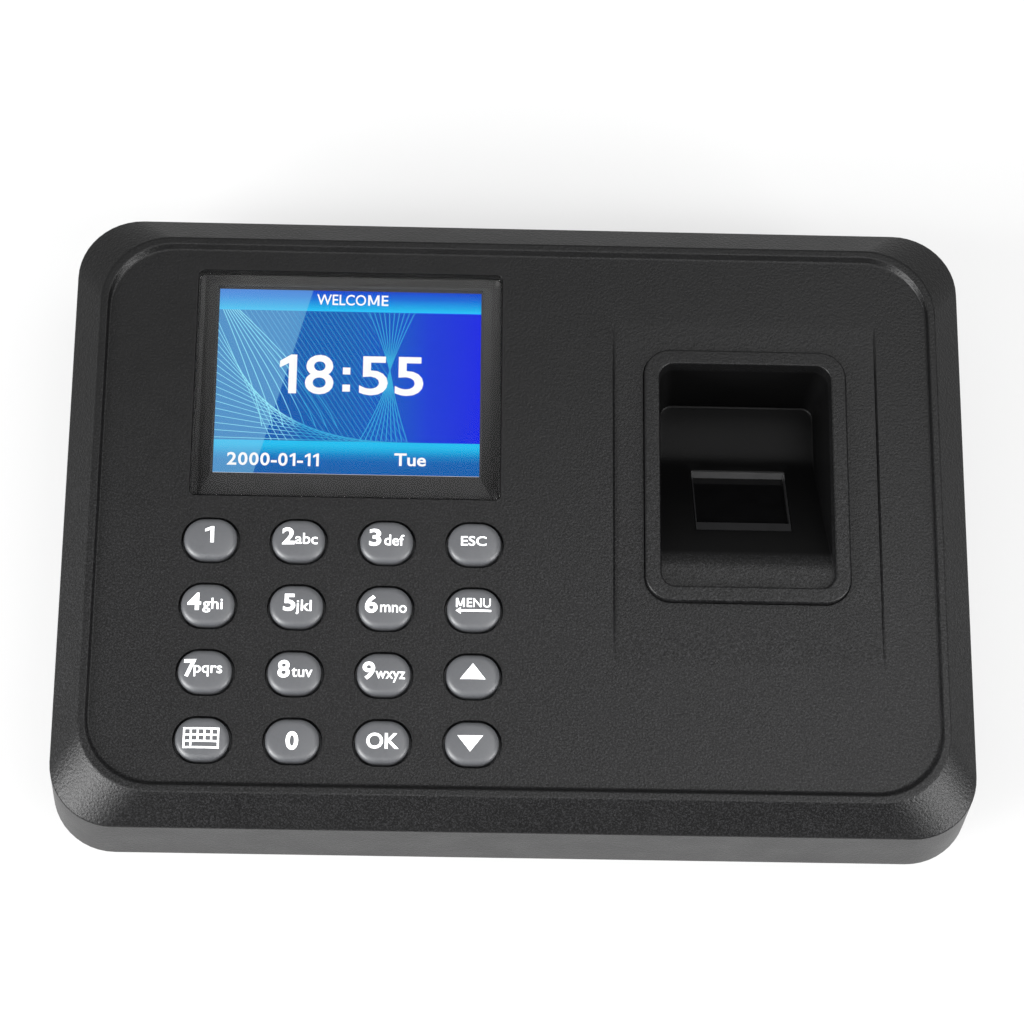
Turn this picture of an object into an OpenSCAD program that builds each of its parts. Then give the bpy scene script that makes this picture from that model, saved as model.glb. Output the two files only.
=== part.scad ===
// Fingerprint scanner terminal, lying on its back: face up (+Z), top edge of the face towards +Y.
// The origin is on the plane of the rubber feet, under the centre of the case.

/* [Case] */
// Width of the case
body_w = 178.6; // [176:0.2:184]
// Height of the case's face
body_h = 127; // [126:1:132]
// Corner radius of the case at its widest outline
corner_r = 12.7; // [11:0.1:14]
// Wall thickness of the two covers
wall = 2.5; // [2:0.1:3]
// Thickness of the face panel
panel_t = 2.4; // [2.2:0.1:2.8]
// Height of the face panel above the table
panel_z = 36; // [36:0.5:38]
// Height of the rim above the panel
rim_rise = 1.1; // [0.8:0.1:1.6]
// Depth of the bevel, from the rim down to the side wall
bevel_h = 5; // [4:0.1:6]
// Width of the bevel on the left and right
bevel_side = 5.5; // [4.5:0.1:6]
// Width of the bevel at the top and bottom
bevel_end = 5.8; // [5:0.1:6.5]
// Height of the lower edge of the front cover above the table
split_z = 12; // [11.5:0.1:12.5]
// How much further out the side walls stand at their lower edge
side_flare = 1.2; // [0:0.1:1.6]

/* [Back box] */
// Width of the box that stands out of the back cover
box_w = 148; // [146:1:149]
// Height of the box that stands out of the back cover
box_h = 97; // [95:1:98]
// Height that the feet stand out of the box
foot_rise = 1.4; // [1:0.1:1.6]
// Diameter of a foot
foot_d = 12; // [8:0.5:14]
// Distance between the two wall hooks
hook_pitch = 128; // [124:1:130]
// Diameter of the hook's entry hole
hook_d = 9; // [8:0.5:10]
// Width of the hook's narrow slot
hook_slot = 4.4; // [4:0.1:5]

/* [Display] */
// Width of the display window
lens_w = 61; // [58:0.5:62]
// Height of the display window
lens_h = 48.2; // [46:0.1:49]
// Width of the picture area
screen_w = 52.8; // [50:0.1:54]
// Height of the picture area
screen_h = 39.6; // [38:0.1:41]
// Place of the display's centre across the case
screen_x = -34; // [-35:0.5:-33]
// Place of the display's centre up the case
screen_y = 27; // [26.5:0.5:28]
// Distance that the picture area sits above the display window's centre
lcd_rise = 1.4; // [0:0.1:1.6]

/* [Keypad] */
// Width of a key
key_w = 10.3; // [9.5:0.1:10.5]
// Height of a key
key_h = 8.4; // [8:0.1:8.8]
// Distance between columns of keys
key_pitch_x = 17.2; // [17:0.1:17.5]
// Distance between rows of keys
key_pitch_y = 13.5; // [13.4:0.1:13.7]
// Place of the first column
key_x0 = -60; // [-60.5:0.5:-59.5]
// Place of the top row
key_y0 = -6.6; // [-7:0.1:-6.5]
// Height of the keys above the panel
key_rise = 1.3; // [1:0.1:1.5]
// Travel of a key
key_travel = 0.9; // [0.5:0.1:0.9]

/* [Finger guide] */
// Width of the raised ring
ring_w = 40.4; // [40:0.1:41.5]
// Height of the raised ring
ring_h = 53; // [52:0.1:54]
// Place of the ring's centre across the case
ring_x = 45.3; // [44:0.1:46]
// Place of the ring's centre up the case
ring_y = 8.9; // [8:0.1:9.5]
// Height of the ring above the panel
ring_rise = 0.9; // [0.5:0.1:1.2]
// Width of the ring's flat border
ring_border = 3; // [2.6:0.1:3.2]
// Depth of the well below the panel
well_depth = 18.5; // [18:0.5:19.5]
// Slope of the sensor window
window_tilt = 33; // [32:0.5:34]
// Width of the sensor window
window_w = 19.2; // [18:0.1:20]
// Length of the sensor window along its slope
window_l = 19.7; // [18:0.1:20]

/* [Sockets] */
// Place of the USB socket across the case
usb_x = -42; // [-46:0.5:-40]
// Place of the power socket across the case
dc_x = -17; // [-19:0.5:-14]

/* [Hidden] */
$fn = 48;
eps = 0.01;

// Case heights and outlines
crest_z = panel_z + rim_rise;
shoulder_z = crest_z - bevel_h;
panel_under = panel_z - panel_t;
split_w = body_w + 2 * side_flare;
crest_w = body_w - 2 * bevel_side;
crest_h = body_h - 2 * bevel_end;
crest_r = 14;
rim_flat = 1.3;
panel_inset_side = 1.7;
panel_inset_end = 2.2;
panel_r = 13;
cavity_step_z = shoulder_z - 1.1;
inner_w = body_w - 2 * wall;
inner_h = body_h - 2 * wall;
inner_r = corner_r - wall;
boss_x = body_w / 2 - 9.5;
boss_y = body_h / 2 - 10;
case_bosses = [for (x = [-boss_x, boss_x], y = [-boss_y, 0, boss_y]) [x, y]];

// Dish: a long shallow hollow around the finger guide
dish_w = 52.8;
dish_y0 = -31;
dish_y1 = 42;
dish_depth = 0.6;
dish_half = (dish_y1 - dish_y0) / 2;
dish_r = (dish_half * dish_half + dish_depth * dish_depth) / (2 * dish_depth);

// Back cover
flange_t = 2;
flange_z = split_z - flange_t;
flange_gap = 0.8;
box_z = foot_rise;
floor_t = 2.2;
floor_z = box_z + floor_t;
box_wall = 2.2;
foot_recess = 0.6;
foot_places = [for (x = [-64, 64], y = [-38.5, 38.5]) [x, y]];
hook_y = 16;
hook_run = 10;
hook_places = [[-hook_pitch / 2, hook_y], [hook_pitch / 2, hook_y]];
speaker_at = [-45, -20];
speaker_d = 28;
speaker_h = 6;

// Display stack, from the top down
lens_t = 1.5;
lens_drop = 0.1;
tape_t = 0.2;
lens_z = panel_z - lens_drop - lens_t;
tape_z = lens_z - tape_t;
glass_w = 59;
glass_h = 45;
glass_t = 1.4;
glass_z = panel_under - 0.2 - glass_t;
backlight_t = 2.4;
backlight_z = glass_z - backlight_t;
holder_t = 1.2;
holder_z = backlight_z - holder_t;
holder_w = glass_w + 2 * holder_t + 0.4;
holder_h = glass_h + 2 * holder_t + 0.4;
lcd_screw_x = holder_w / 2 + 2.5;
lcd_screw_y = 18;
lcd_y = screen_y + lcd_rise;
lcd_bosses = [for (x = [-lcd_screw_x, lcd_screw_x], y = [-lcd_screw_y, lcd_screw_y])
    [screen_x + x, lcd_y + y]];

// Keypad stack
hole_gap = 0.45;
flange_w = key_w + 2.4;
flange_h = key_h + 2.2;
key_flange_t = 1;
key_flange_z = panel_under - 0.1 - key_flange_t;
plunger_r = 2;
mat_sheet_t = 1;
mat_collar_r = 3.4;
mat_hole_r = 2.3;
key_board_t = 1.6;
key_board_z = panel_under - 5.1 - key_board_t;
mat_z = key_board_z + key_board_t;
contact_t = 0.1;
plunger_z = mat_z + contact_t + 0.05 + key_travel;
collar_top_z = key_flange_z - key_travel - 0.2;
key_area_w = 68;
key_area_h = 54;
key_area_x = key_x0 + 1.5 * key_pitch_x;
key_area_y = key_y0 - 1.5 * key_pitch_y;
key_places = [for (row = [0:3], col = [0:3]) [key_x0 + col * key_pitch_x, key_y0 - row * key_pitch_y]];
key_bosses = [for (col = [0.5, 2.5], row = [0.5, 2.5])
    [key_x0 + col * key_pitch_x, key_y0 - row * key_pitch_y]];

// Finger guide and sensor
ring_z = panel_z + ring_rise;
ring_r = 5.3;
ring_gap = 0.1;
well_top_w = ring_w - 2 * ring_border;
well_top_h = ring_h - 2 * ring_border;
well_draft = 4;
well_z = panel_z - well_depth;
well_shrink = 2 * (ring_z - well_z) * tan(well_draft);
cup_w = 38;
cup_h = 50.8;
cup_t = 1.5;
guide_flange_z = panel_under - 4;
guide_flange_t = 1.8;
guide_flange_w = 54;
guide_flange_h = 60;
guide_bosses = [for (x = [-24, 24], y = [-24, 24]) [ring_x + x, ring_y + y]];
window_y = 8.1;
window_z = panel_z - 11.8;
ramp_z = panel_z - 0.8;
ramp_r = 4;
ramp_knee_y = window_y - (ramp_z - window_z) / tan(window_tilt);
ramp_tangent = ramp_r * tan(window_tilt / 2);
well_foot_y = window_y + (window_z - well_z) / tan(window_tilt);
ramp_arc = [for (i = [0:12]) let (a = window_tilt * i / 12)
    [ramp_knee_y - ramp_tangent + ramp_r * sin(a), ramp_z - ramp_r * (1 - cos(a))]];
housing_w = 25;
housing_l = 26;
housing_top = -cup_t - 0.1;
housing_bottom = -13.4;
sensor_ear_x = 14.9;
cable_y = -10;

// Main board and what stands on it
board_t = 1.6;
board_z = 15;
board_top = board_z + board_t;
board_x0 = -74;
board_x1 = 20;
board_y0 = -48;
board_y1 = 58;
board_bosses = [[-71.5, -44], [-71.5, 54], [16, -44], [16, 54]];
usb_w = 13.7;
usb_h = 6.3;
usb_wall = 0.6;
usb_l = 14;
dc_w = 9;
dc_h = 11;
dc_z = board_top + 6.5;
dc_bore_r = 3.1;
socket_y = body_h / 2 - 0.5;

// ---- shared shapes ----

// A rectangle with round corners, centred
module rounded_rect(w, h, r) {
    square([w - 2 * r, h], center = true);
    square([w, h - 2 * r], center = true);
    for (x = [-1, 1], y = [-1, 1]) {
        translate([x * (w / 2 - r), y * (h / 2 - r)]) circle(r, $fn = 96);
    }
}

// A slab with round corners, standing on height z
module slab(w, h, r, z, t) {
    translate([0, 0, z]) linear_extrude(t) rounded_rect(w, h, r);
}

// A block that widens or narrows between two rounded outlines, each [w, h, r, z]
module taper(low, high) {
    hull() {
        slab(low[0], low[1], low[2], low[3], eps);
        slab(high[0], high[1], high[2], high[3] - eps, eps);
    }
}

// A slot shape with two half-round ends
module stadium(w, h) {
    square([w - h, h], center = true);
    for (x = [-1, 1]) {
        translate([x * (w - h) / 2, 0]) circle(h / 2);
    }
}

// A box given by its low and high corners
module block(low, high) {
    translate(low) cube(high - low);
}

// A round post at a place, between two heights
module post(at, r, z0, z1) {
    translate([at[0], at[1], z0]) cylinder(r = r, h = z1 - z0);
}

// A pan-head screw that points up: its head lies under z, its thread ends at z_top
module screw(at, z, z_top, thread_r, head_r, head_t) {
    translate([at[0], at[1], z]) {
        difference() {
            translate([0, 0, -head_t]) cylinder(r = head_r, h = head_t);
            translate([0, 0, -head_t - eps]) cross_recess(head_r);
        }
        cylinder(r = thread_r, h = z_top - z);
    }
}

// The cross in a screw's head
module cross_recess(head_r) {
    for (a = [0, 90]) {
        rotate(a) translate([-head_r * 0.55, -head_r * 0.11, 0]) cube([head_r * 1.1, head_r * 0.22, 0.7]);
    }
}

// Moves a shape into the sensor's sloping frame: the window's centre, +Z out of the window
module on_window() {
    translate([ring_x, window_y, window_z]) rotate([-window_tilt, 0, 0]) children();
}

// ---- covers ----

// Outside of the front cover, with its bevelled rim
module front_outside() {
    taper([split_w, body_h, corner_r, split_z], [body_w, body_h, corner_r, shoulder_z]);
    taper([body_w, body_h, corner_r, shoulder_z], [crest_w, crest_h, crest_r, crest_z]);
}

// The sunken face inside the rim
module face_pocket() {
    taper([crest_w - 2 * panel_inset_side, crest_h - 2 * panel_inset_end, panel_r, panel_z],
        [crest_w - 2 * rim_flat, crest_h - 2 * rim_flat, crest_r - 0.9, crest_z + eps]);
}

// The long shallow dish around the finger guide
module face_dish() {
    intersection() {
        translate([ring_x, (dish_y0 + dish_y1) / 2, panel_z - dish_depth + dish_r]) {
            rotate([0, 90, 0]) cylinder(r = dish_r, h = dish_w, center = true, $fn = 720);
        }
        block([ring_x - dish_w, dish_y0, panel_z - 2], [ring_x + dish_w, dish_y1, panel_z + 2]);
    }
}

// Everything that is cut through the face panel
module face_openings() {
    translate([screen_x, screen_y, 0]) {
        slab(lens_w + 0.3, lens_h + 0.3, 1.3, tape_z, 4);
        slab(lens_w - 4, lens_h - 4, 1, panel_under - 1, 5);
    }
    for (at = key_places) {
        translate([at[0], at[1], panel_under - 1]) linear_extrude(5) {
            stadium(key_w + 2 * hole_gap, key_h + 2 * hole_gap);
        }
    }
    translate([ring_x, ring_y, 0]) {
        slab(ring_w + 2 * ring_gap, ring_h + 2 * ring_gap, ring_r + ring_gap, panel_under - 1, 5);
    }
}

// The hollow inside of the front cover
module front_cavity() {
    slab(inner_w, inner_h, inner_r, split_z - 1, cavity_step_z - split_z + 1);
    slab(crest_w + 0.2, crest_h + 0.6, crest_r - 5, cavity_step_z - 1, panel_under - cavity_step_z + 1);
}

// Openings for the USB and power sockets in the top wall
module socket_openings() {
    wall_y = body_h / 2 - wall - 1;
    block([usb_x - usb_w / 2 - 0.4, wall_y, board_top - 0.4],
        [usb_x + usb_w / 2 + 0.4, body_h / 2 + 1, board_top + usb_h + 0.4]);
    translate([dc_x, wall_y, dc_z]) rotate([-90, 0, 0]) cylinder(r = 4.1, h = wall + 3);
}

// Screw posts under the face, with their pilot holes
module face_posts(places, r, z, pilot_r) {
    difference() {
        for (at = places) {
            post(at, r, z, panel_under + 0.5);
        }
        for (at = places) {
            post(at, pilot_r, z - 1, panel_under - 0.4);
        }
    }
}

module front_cover() {
    color("#2a2b2d") {
        difference() {
            front_outside();
            face_pocket();
            face_dish();
            face_openings();
            front_cavity();
            socket_openings();
        }
        face_posts(case_bosses, 3.2, split_z, 1.3);
        face_posts(board_bosses, 2.6, board_top, 1);
        face_posts(lcd_bosses, 2.5, holder_z + holder_t, 0.9);
        face_posts(key_bosses, 2.2, mat_z, 0.9);
        face_posts(guide_bosses, 2.7, guide_flange_z + guide_flange_t, 1);
    }
}

// The plate that closes the case, with its locating lip and the box that stands out of it
module back_shell() {
    difference() {
        union() {
            slab(split_w - 2 * flange_gap, body_h - 2 * flange_gap, corner_r - flange_gap, flange_z,
                flange_t);
            difference() {
                slab(inner_w - 0.4, inner_h - 0.4, inner_r - 0.2, split_z - eps, 2.5);
                slab(inner_w - 4, inner_h - 4, inner_r - 2, split_z - 1, 5);
            }
            slab(box_w, box_h, 8, box_z, split_z - box_z);
        }
        slab(box_w - 2 * box_wall, box_h - 2 * box_wall, 8 - box_wall, floor_z, split_z);
    }
}

// A wall hook: a round entry with a narrow slot above it
module hook_opening(at) {
    translate([at[0], at[1], box_z - 1]) {
        cylinder(d = hook_d, h = floor_t + 2);
        translate([0, hook_run, 0]) cylinder(d = hook_slot, h = floor_t + 2);
        translate([-hook_slot / 2, 0, 0]) cube([hook_slot, hook_run, floor_t + 2]);
    }
}

// The sound holes: one in the middle and two rings around it
module sound_holes() {
    for (ring = [0:2], i = [0:max(0, ring * 6 - 1)]) {
        a = ring == 0 ? 0 : 360 * i / (ring * 6);
        reach = 4 * ring;
        at = [speaker_at[0] + reach * cos(a), speaker_at[1] + reach * sin(a)];
        post(at, 0.9, box_z - 1, floor_z + 1);
    }
}

module back_cover() {
    color("#232426") difference() {
        union() {
            back_shell();
            difference() {
                post(speaker_at, speaker_d / 2 + 1.5, floor_z - 0.5, floor_z + 4);
                post(speaker_at, speaker_d / 2 + 0.2, floor_z - 1, floor_z + 5);
            }
        }
        for (at = case_bosses) {
            post(at, 1.7, flange_z - 1, split_z + 1);
        }
        for (at = foot_places) {
            post(at, foot_d / 2 + 0.1, box_z - 1, box_z + foot_recess);
        }
        for (at = hook_places) {
            hook_opening(at);
        }
        sound_holes();
    }
}

module rubber_feet() {
    color("#151515") for (at = foot_places) {
        post(at, foot_d / 2, 0, foot_rise + foot_recess);
    }
}

// ---- display ----

module display_lens() {
    color("#33373a") translate([screen_x, screen_y, 0]) slab(lens_w, lens_h, 1.2, lens_z, lens_t);
}

module lens_tape() {
    color("black") difference() {
        translate([screen_x, screen_y, 0]) slab(lens_w - 0.6, lens_h - 0.6, 1, tape_z, tape_t);
        translate([screen_x, lcd_y, 0]) slab(screen_w + 0.8, screen_h + 0.8, 0.4, tape_z - 1, tape_t + 2);
    }
}

module lcd_glass() {
    color("#2f6fc4") translate([screen_x, lcd_y, 0]) {
        slab(glass_w, glass_h, 0.5, glass_z + 0.6, glass_t - 0.6);
        slab(screen_w + 1.4, screen_h + 1.4, 0.5, glass_z, 0.7);
    }
}

module lcd_backlight() {
    color("white") translate([screen_x, lcd_y, 0]) slab(glass_w, glass_h, 0.8, backlight_z, backlight_t);
}

module lcd_holder() {
    flex_gap = 19;
    color("#8d9196") difference() {
        union() {
            translate([screen_x, lcd_y, 0]) slab(holder_w, holder_h, 1.5, holder_z, 5);
            for (at = lcd_bosses) {
                post(at, 3, holder_z, holder_z + holder_t);
                reach = at[0] < screen_x ? 3 : -3;
                translate([at[0] + reach / 2, at[1], holder_z + holder_t / 2]) {
                    cube([3, 6, holder_t], center = true);
                }
            }
        }
        translate([screen_x, lcd_y, 0]) slab(glass_w + 0.4, glass_h + 0.4, 0.8, backlight_z, 6);
        translate([screen_x - flex_gap / 2, lcd_y - holder_h / 2 - 1, glass_z]) cube([flex_gap, 3, 4]);
        for (at = lcd_bosses) {
            post(at, 1.2, holder_z - 1, holder_z + 3);
        }
    }
}

module lcd_flex() {
    flex_w = 18;
    flex_t = 0.2;
    out_y = lcd_y - holder_h / 2 - 1;
    edge_y = lcd_y - glass_h / 2;
    color("#c98a3a") translate([screen_x, 0, 0]) {
        block([-flex_w / 2, out_y, glass_z + 0.7], [flex_w / 2, edge_y, glass_z + 0.7 + flex_t]);
        block([-flex_w / 2, out_y, board_top + 2], [flex_w / 2, out_y + flex_t, glass_z + 0.7 + flex_t]);
    }
}

// ---- keypad ----

// One key: a domed cap, a flange that stops under the face, and a plunger
module key_at(i) {
    dome_r = 26;
    top_z = panel_z + key_rise;
    at = key_places[i];
    color("#6f7276") translate([at[0], at[1], 0]) {
        intersection() {
            translate([0, 0, key_flange_z]) linear_extrude(top_z - key_flange_z) stadium(key_w, key_h);
            translate([0, 0, top_z - dome_r]) sphere(dome_r, $fn = 128);
        }
        translate([0, 0, key_flange_z]) linear_extrude(key_flange_t) stadium(flange_w, flange_h);
        translate([0, 0, plunger_z]) cylinder(r = plunger_r, h = key_flange_z - plunger_z + eps);
    }
}

module keypad_mat() {
    color("#3c3f42") difference() {
        union() {
            translate([key_area_x, key_area_y, 0]) {
                slab(key_area_w - 1, key_area_h - 1, 1.5, mat_z, mat_sheet_t);
            }
            for (at = key_places) {
                post(at, mat_collar_r, mat_z, collar_top_z);
            }
        }
        for (at = key_places) {
            post(at, mat_hole_r, mat_z - 1, collar_top_z + 1);
        }
        for (at = key_bosses) {
            post(at, 2.4, mat_z - 1, mat_z + 3);
        }
    }
}

module key_board() {
    color("#1f5c3a") {
        difference() {
            translate([key_area_x, key_area_y, 0]) {
                slab(key_area_w, key_area_h, 1, key_board_z, key_board_t);
            }
            for (at = key_bosses) {
                post(at, 1.2, key_board_z - 1, key_board_z + 3);
            }
        }
    }
}

// The contact pads that the plungers close
module key_contacts() {
    color("gold") for (at = key_places) {
        post(at, 1.9, mat_z, mat_z + contact_t);
    }
}

module keypad_ribbon() {
    ribbon_t = 0.3;
    edge_x = key_area_x + key_area_w / 2;
    drop_x = edge_x + 3;
    color("#d8d8d0") {
        block([edge_x - 6, -26, key_board_z - 2], [edge_x, -14, key_board_z]);
        block([edge_x, -25, key_board_z - 1.2], [drop_x, -15, key_board_z - 1.2 + ribbon_t]);
        block([drop_x - ribbon_t, -25, board_top + 2], [drop_x, -15, key_board_z - 1.2 + ribbon_t]);
    }
}

// ---- finger guide and sensor ----

// The profile of the well's bottom, from the ring's near edge to its far end: everything above it is open
module well_profile() {
    far_y = ring_y + ring_h;
    polygon(concat([[ring_y - ring_h, ramp_z]], ramp_arc,
        [[well_foot_y, well_z], [far_y, well_z], [far_y, ring_z + 5], [ring_y - ring_h, ring_z + 5]]));
}

// Extrudes a profile drawn in Y and Z across the case, centred on the ring
module across(w) {
    translate([ring_x - w / 2, 0, 0]) rotate([90, 0, 90]) linear_extrude(w) children();
}

// The hollow of the well: steep walls and a sloping bottom
module well_hollow() {
    intersection() {
        translate([ring_x, ring_y, 0]) {
            taper([well_top_w - well_shrink, well_top_h - well_shrink, 2, well_z],
                [well_top_w, well_top_h, 3, ring_z + eps]);
        }
        across(well_top_w + 2) well_profile();
    }
}

// The space under the slope that takes the sensor
module sensor_space() {
    cup_low = guide_flange_z - 30;
    on_window() {
        translate([-17.2, -40, -24]) cube([34.4, 56, 20.5]);
        translate([-housing_w / 2 - 0.3, -housing_l / 2 - 1.5, -24]) {
            cube([housing_w + 0.6, housing_l + 2, 24 - cup_t]);
        }
    }
    block([ring_x - 17.2, ring_y - cup_h / 2 + cup_t, cup_low], [ring_x + 17.2, 0, well_z + 6]);
}

module finger_guide() {
    color("#2a2b2d") difference() {
        union() {
            translate([ring_x, ring_y, 0]) {
                slab(ring_w, ring_h, ring_r, guide_flange_z, ring_z - guide_flange_z);
                slab(guide_flange_w, guide_flange_h, 4, guide_flange_z, guide_flange_t);
                slab(cup_w, cup_h, 4.5, well_z - cup_t, guide_flange_z - well_z + cup_t + 1);
            }
        }
        well_hollow();
        intersection() {
            translate([ring_x, ring_y, 0]) slab(cup_w - 3.4, cup_h - 3.4, 3, well_z - 10, 60);
            sensor_space();
        }
        on_window() translate([-window_w / 2, -window_l / 2, -6]) cube([window_w, window_l, 12]);
        block([ring_x - cup_w / 2 - 1, cable_y - 4, 0],
            [ring_x - cup_w / 2 + 3, cable_y + 4, board_top + 2]);
        for (at = guide_bosses) {
            post(at, 1.3, guide_flange_z - 1, guide_flange_z + 3);
        }
        for (x = [-sensor_ear_x, sensor_ear_x]) {
            on_window() translate([x, 0, -6]) cylinder(r = 0.7, h = 4.5);
        }
    }
}

// The frame around the window, with a wide lip at its upper end
module sensor_bezel() {
    side = 0.35;
    lip = 2.5;
    color("#4b4d50") on_window() difference() {
        translate([-window_w / 2 + 0.1, -window_l / 2 + 0.1, housing_top]) {
            cube([window_w - 0.2, window_l - 0.2, -housing_top - 0.15]);
        }
        translate([-window_w / 2 + side, -window_l / 2 + lip, housing_top - 1]) {
            cube([window_w - 2 * side, window_l - lip - side, 4]);
        }
    }
}

module sensor_glass() {
    color("#101214") on_window() {
        translate([-10.6, -11.1, housing_top - 1.5]) cube([21.2, 22.2, 1.5]);
    }
}

module sensor_prism() {
    color("#b9d7e6") on_window() {
        translate([-9.5, 0, housing_top - 1.6]) rotate([90, 0, 90]) linear_extrude(19) {
            polygon([[-10, 0], [10, 0], [5, -5.8], [-5, -5.8]]);
        }
    }
}

module sensor_housing() {
    color("#1b1c1e") on_window() difference() {
        union() {
            translate([-housing_w / 2, -housing_l / 2, housing_bottom]) {
                cube([housing_w, housing_l, housing_top - housing_bottom]);
            }
            translate([-17, -3, -5.6]) cube([34, 6, 2]);
        }
        translate([-10.8, -11.3, -9.6]) cube([21.6, 22.6, 12]);
        translate([0, 0, housing_bottom - 1]) cylinder(r = 3.6, h = 8);
        for (x = [-sensor_ear_x, sensor_ear_x]) {
            translate([x, 0, -8]) cylinder(r = 0.9, h = 8);
        }
    }
}

module sensor_lens() {
    color("#4a5560") on_window() {
        translate([0, 0, housing_bottom + 0.1]) cylinder(r = 3.4, h = 2.4);
        translate([0, 0, housing_bottom + 2.4]) cylinder(r = 2.4, h = 1.3);
    }
}

module sensor_led_board() {
    color("#1f5c3a") on_window() {
        translate([-9, -housing_l / 2 - 1.1, -11]) cube([18, 1, 8]);
        for (x = [-6, 0, 6]) {
            translate([x - 0.8, -housing_l / 2 - 1.4, -8]) cube([1.6, 0.4, 1.6]);
        }
    }
}

module sensor_board() {
    color("#1f5c3a") on_window() {
        translate([-12.5, -15, housing_bottom - 1.3]) cube([25, 27.5, 1.2]);
        translate([-12.5, -15, housing_bottom - 3.1]) cube([5, 6, 1.9]);
        translate([-4, -4, housing_bottom - 2.2]) cube([8, 8, 1]);
    }
}

module sensor_cable() {
    color("#d8d8d0") block([18, cable_y - 3, board_top + 0.7], [ring_x - 12.5, cable_y + 3, board_top + 1]);
}

// ---- electronics ----

module main_board() {
    color("#1f5c3a") difference() {
        block([board_x0, board_y0, board_z], [board_x1, board_y1, board_top]);
        for (at = board_bosses) {
            post(at, 1.3, board_z - 1, board_top + 1);
        }
    }
}

module processor_chip() {
    color("#18191b") block([-30, -36, board_top], [-16, -22, board_top + 1.4]);
}

module memory_chips() {
    color("#18191b") for (x = [-30, -19]) {
        block([x, -15, board_top], [x + 8, -9, board_top + 1.2]);
    }
}

module capacitors() {
    color("#9aa0a6") for (at = [[-4, 40], [4, 40], [4, 30]]) {
        post(at, 3.1, board_top, board_top + 8);
    }
}

// Connectors on the board: display, keypad, sensor and speaker
module board_connectors() {
    flex_y = lcd_y - holder_h / 2 - 1;
    edge_x = key_area_x + key_area_w / 2;
    color("#e8e4d8") {
        block([screen_x - 11, flex_y - 2.5, board_top], [screen_x + 11, flex_y + 2.7, board_top + 2]);
        block([edge_x, -26.5, board_top], [edge_x + 5.5, -13.5, board_top + 2]);
        block([12, cable_y - 4, board_top], [18, cable_y + 4, board_top + 2]);
        block([-28, -21.5, board_z - 3.5], [-22, -14.5, board_z]);
    }
}

module usb_port() {
    low = [usb_x - usb_w / 2, socket_y - usb_l, board_top];
    high = [usb_x + usb_w / 2, socket_y, board_top + usb_h];
    color("silver") difference() {
        block(low, high);
        block([low[0] + usb_wall, low[1] + 2, low[2] + usb_wall],
            [high[0] - usb_wall, high[1] + 1, high[2] - usb_wall]);
    }
}

module usb_tongue() {
    color("#f0f0f0") {
        block([usb_x - 5.5, socket_y - usb_l + 2, board_top + 3.2],
            [usb_x + 5.5, socket_y - 1.2, board_top + 5]);
    }
}

module dc_jack() {
    back_y = socket_y - 14;
    face_y = body_h / 2 - wall - 0.2;
    color("#161616") difference() {
        union() {
            block([dc_x - dc_w / 2, back_y, board_top], [dc_x + dc_w / 2, face_y, board_top + dc_h]);
            translate([dc_x, face_y - 1, dc_z]) rotate([-90, 0, 0]) {
                cylinder(r = 3.9, h = socket_y - face_y + 1);
            }
        }
        translate([dc_x, back_y + 2, dc_z]) rotate([-90, 0, 0]) cylinder(r = dc_bore_r, h = 20);
    }
}

module dc_pin() {
    color("silver") translate([dc_x, socket_y - 12, dc_z]) rotate([-90, 0, 0]) cylinder(r = 1, h = 10.5);
}

module speaker() {
    color("#3a3a3c") difference() {
        post(speaker_at, speaker_d / 2, floor_z, floor_z + 2.5);
        post(speaker_at, speaker_d / 2 - 3, floor_z - 1, floor_z + 0.8);
    }
    color("silver") post(speaker_at, 8, floor_z + 2.4, floor_z + speaker_h);
}

module speaker_wires() {
    wire_r = 0.6;
    for (y = [-19.2, -16.8]) {
        color(y < -18 ? "red" : "black") {
            translate([-33, y, floor_z + 2.5]) cylinder(r = wire_r, h = board_z - 2 - floor_z - 2.5);
            translate([-33, y, board_z - 2]) sphere(wire_r);
            translate([-33, y, board_z - 2]) rotate([0, 90, 0]) cylinder(r = wire_r, h = 5);
        }
    }
}

module coin_holder() {
    color("#1c1c1c") difference() {
        post([-55, -30], 11.6, board_top, board_top + 3);
        post([-55, -30], 10.2, board_top + 1, board_top + 5);
    }
}

module coin_cell() {
    color("silver") post([-55, -30], 10, board_top + 1, board_top + 4.2);
}

// ---- fasteners ----

module case_screws() {
    color("#55585c") for (at = case_bosses) {
        screw(at, flange_z, flange_z + 14, 1.3, 2.8, 1.7);
    }
}

module board_screws() {
    color("#7d8186") for (at = board_bosses) {
        screw(at, board_z, board_z + 8, 1, 2.2, 1.4);
    }
}

module key_board_screws() {
    color("#7d8186") for (at = key_bosses) {
        screw(at, key_board_z, panel_under - 0.6, 0.9, 2, 1.3);
    }
}

module lcd_screws() {
    color("#7d8186") for (at = lcd_bosses) {
        screw(at, holder_z, panel_under - 0.6, 0.9, 2, 1.3);
    }
}

module guide_screws() {
    color("#7d8186") for (at = guide_bosses) {
        screw(at, guide_flange_z, panel_under - 0.6, 1, 2.2, 1.4);
    }
}

module sensor_screws() {
    color("#7d8186") for (x = [-sensor_ear_x, sensor_ear_x]) {
        on_window() screw([x, 0], -5.6, -1.8, 0.7, 1.6, 1);
    }
}

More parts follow.
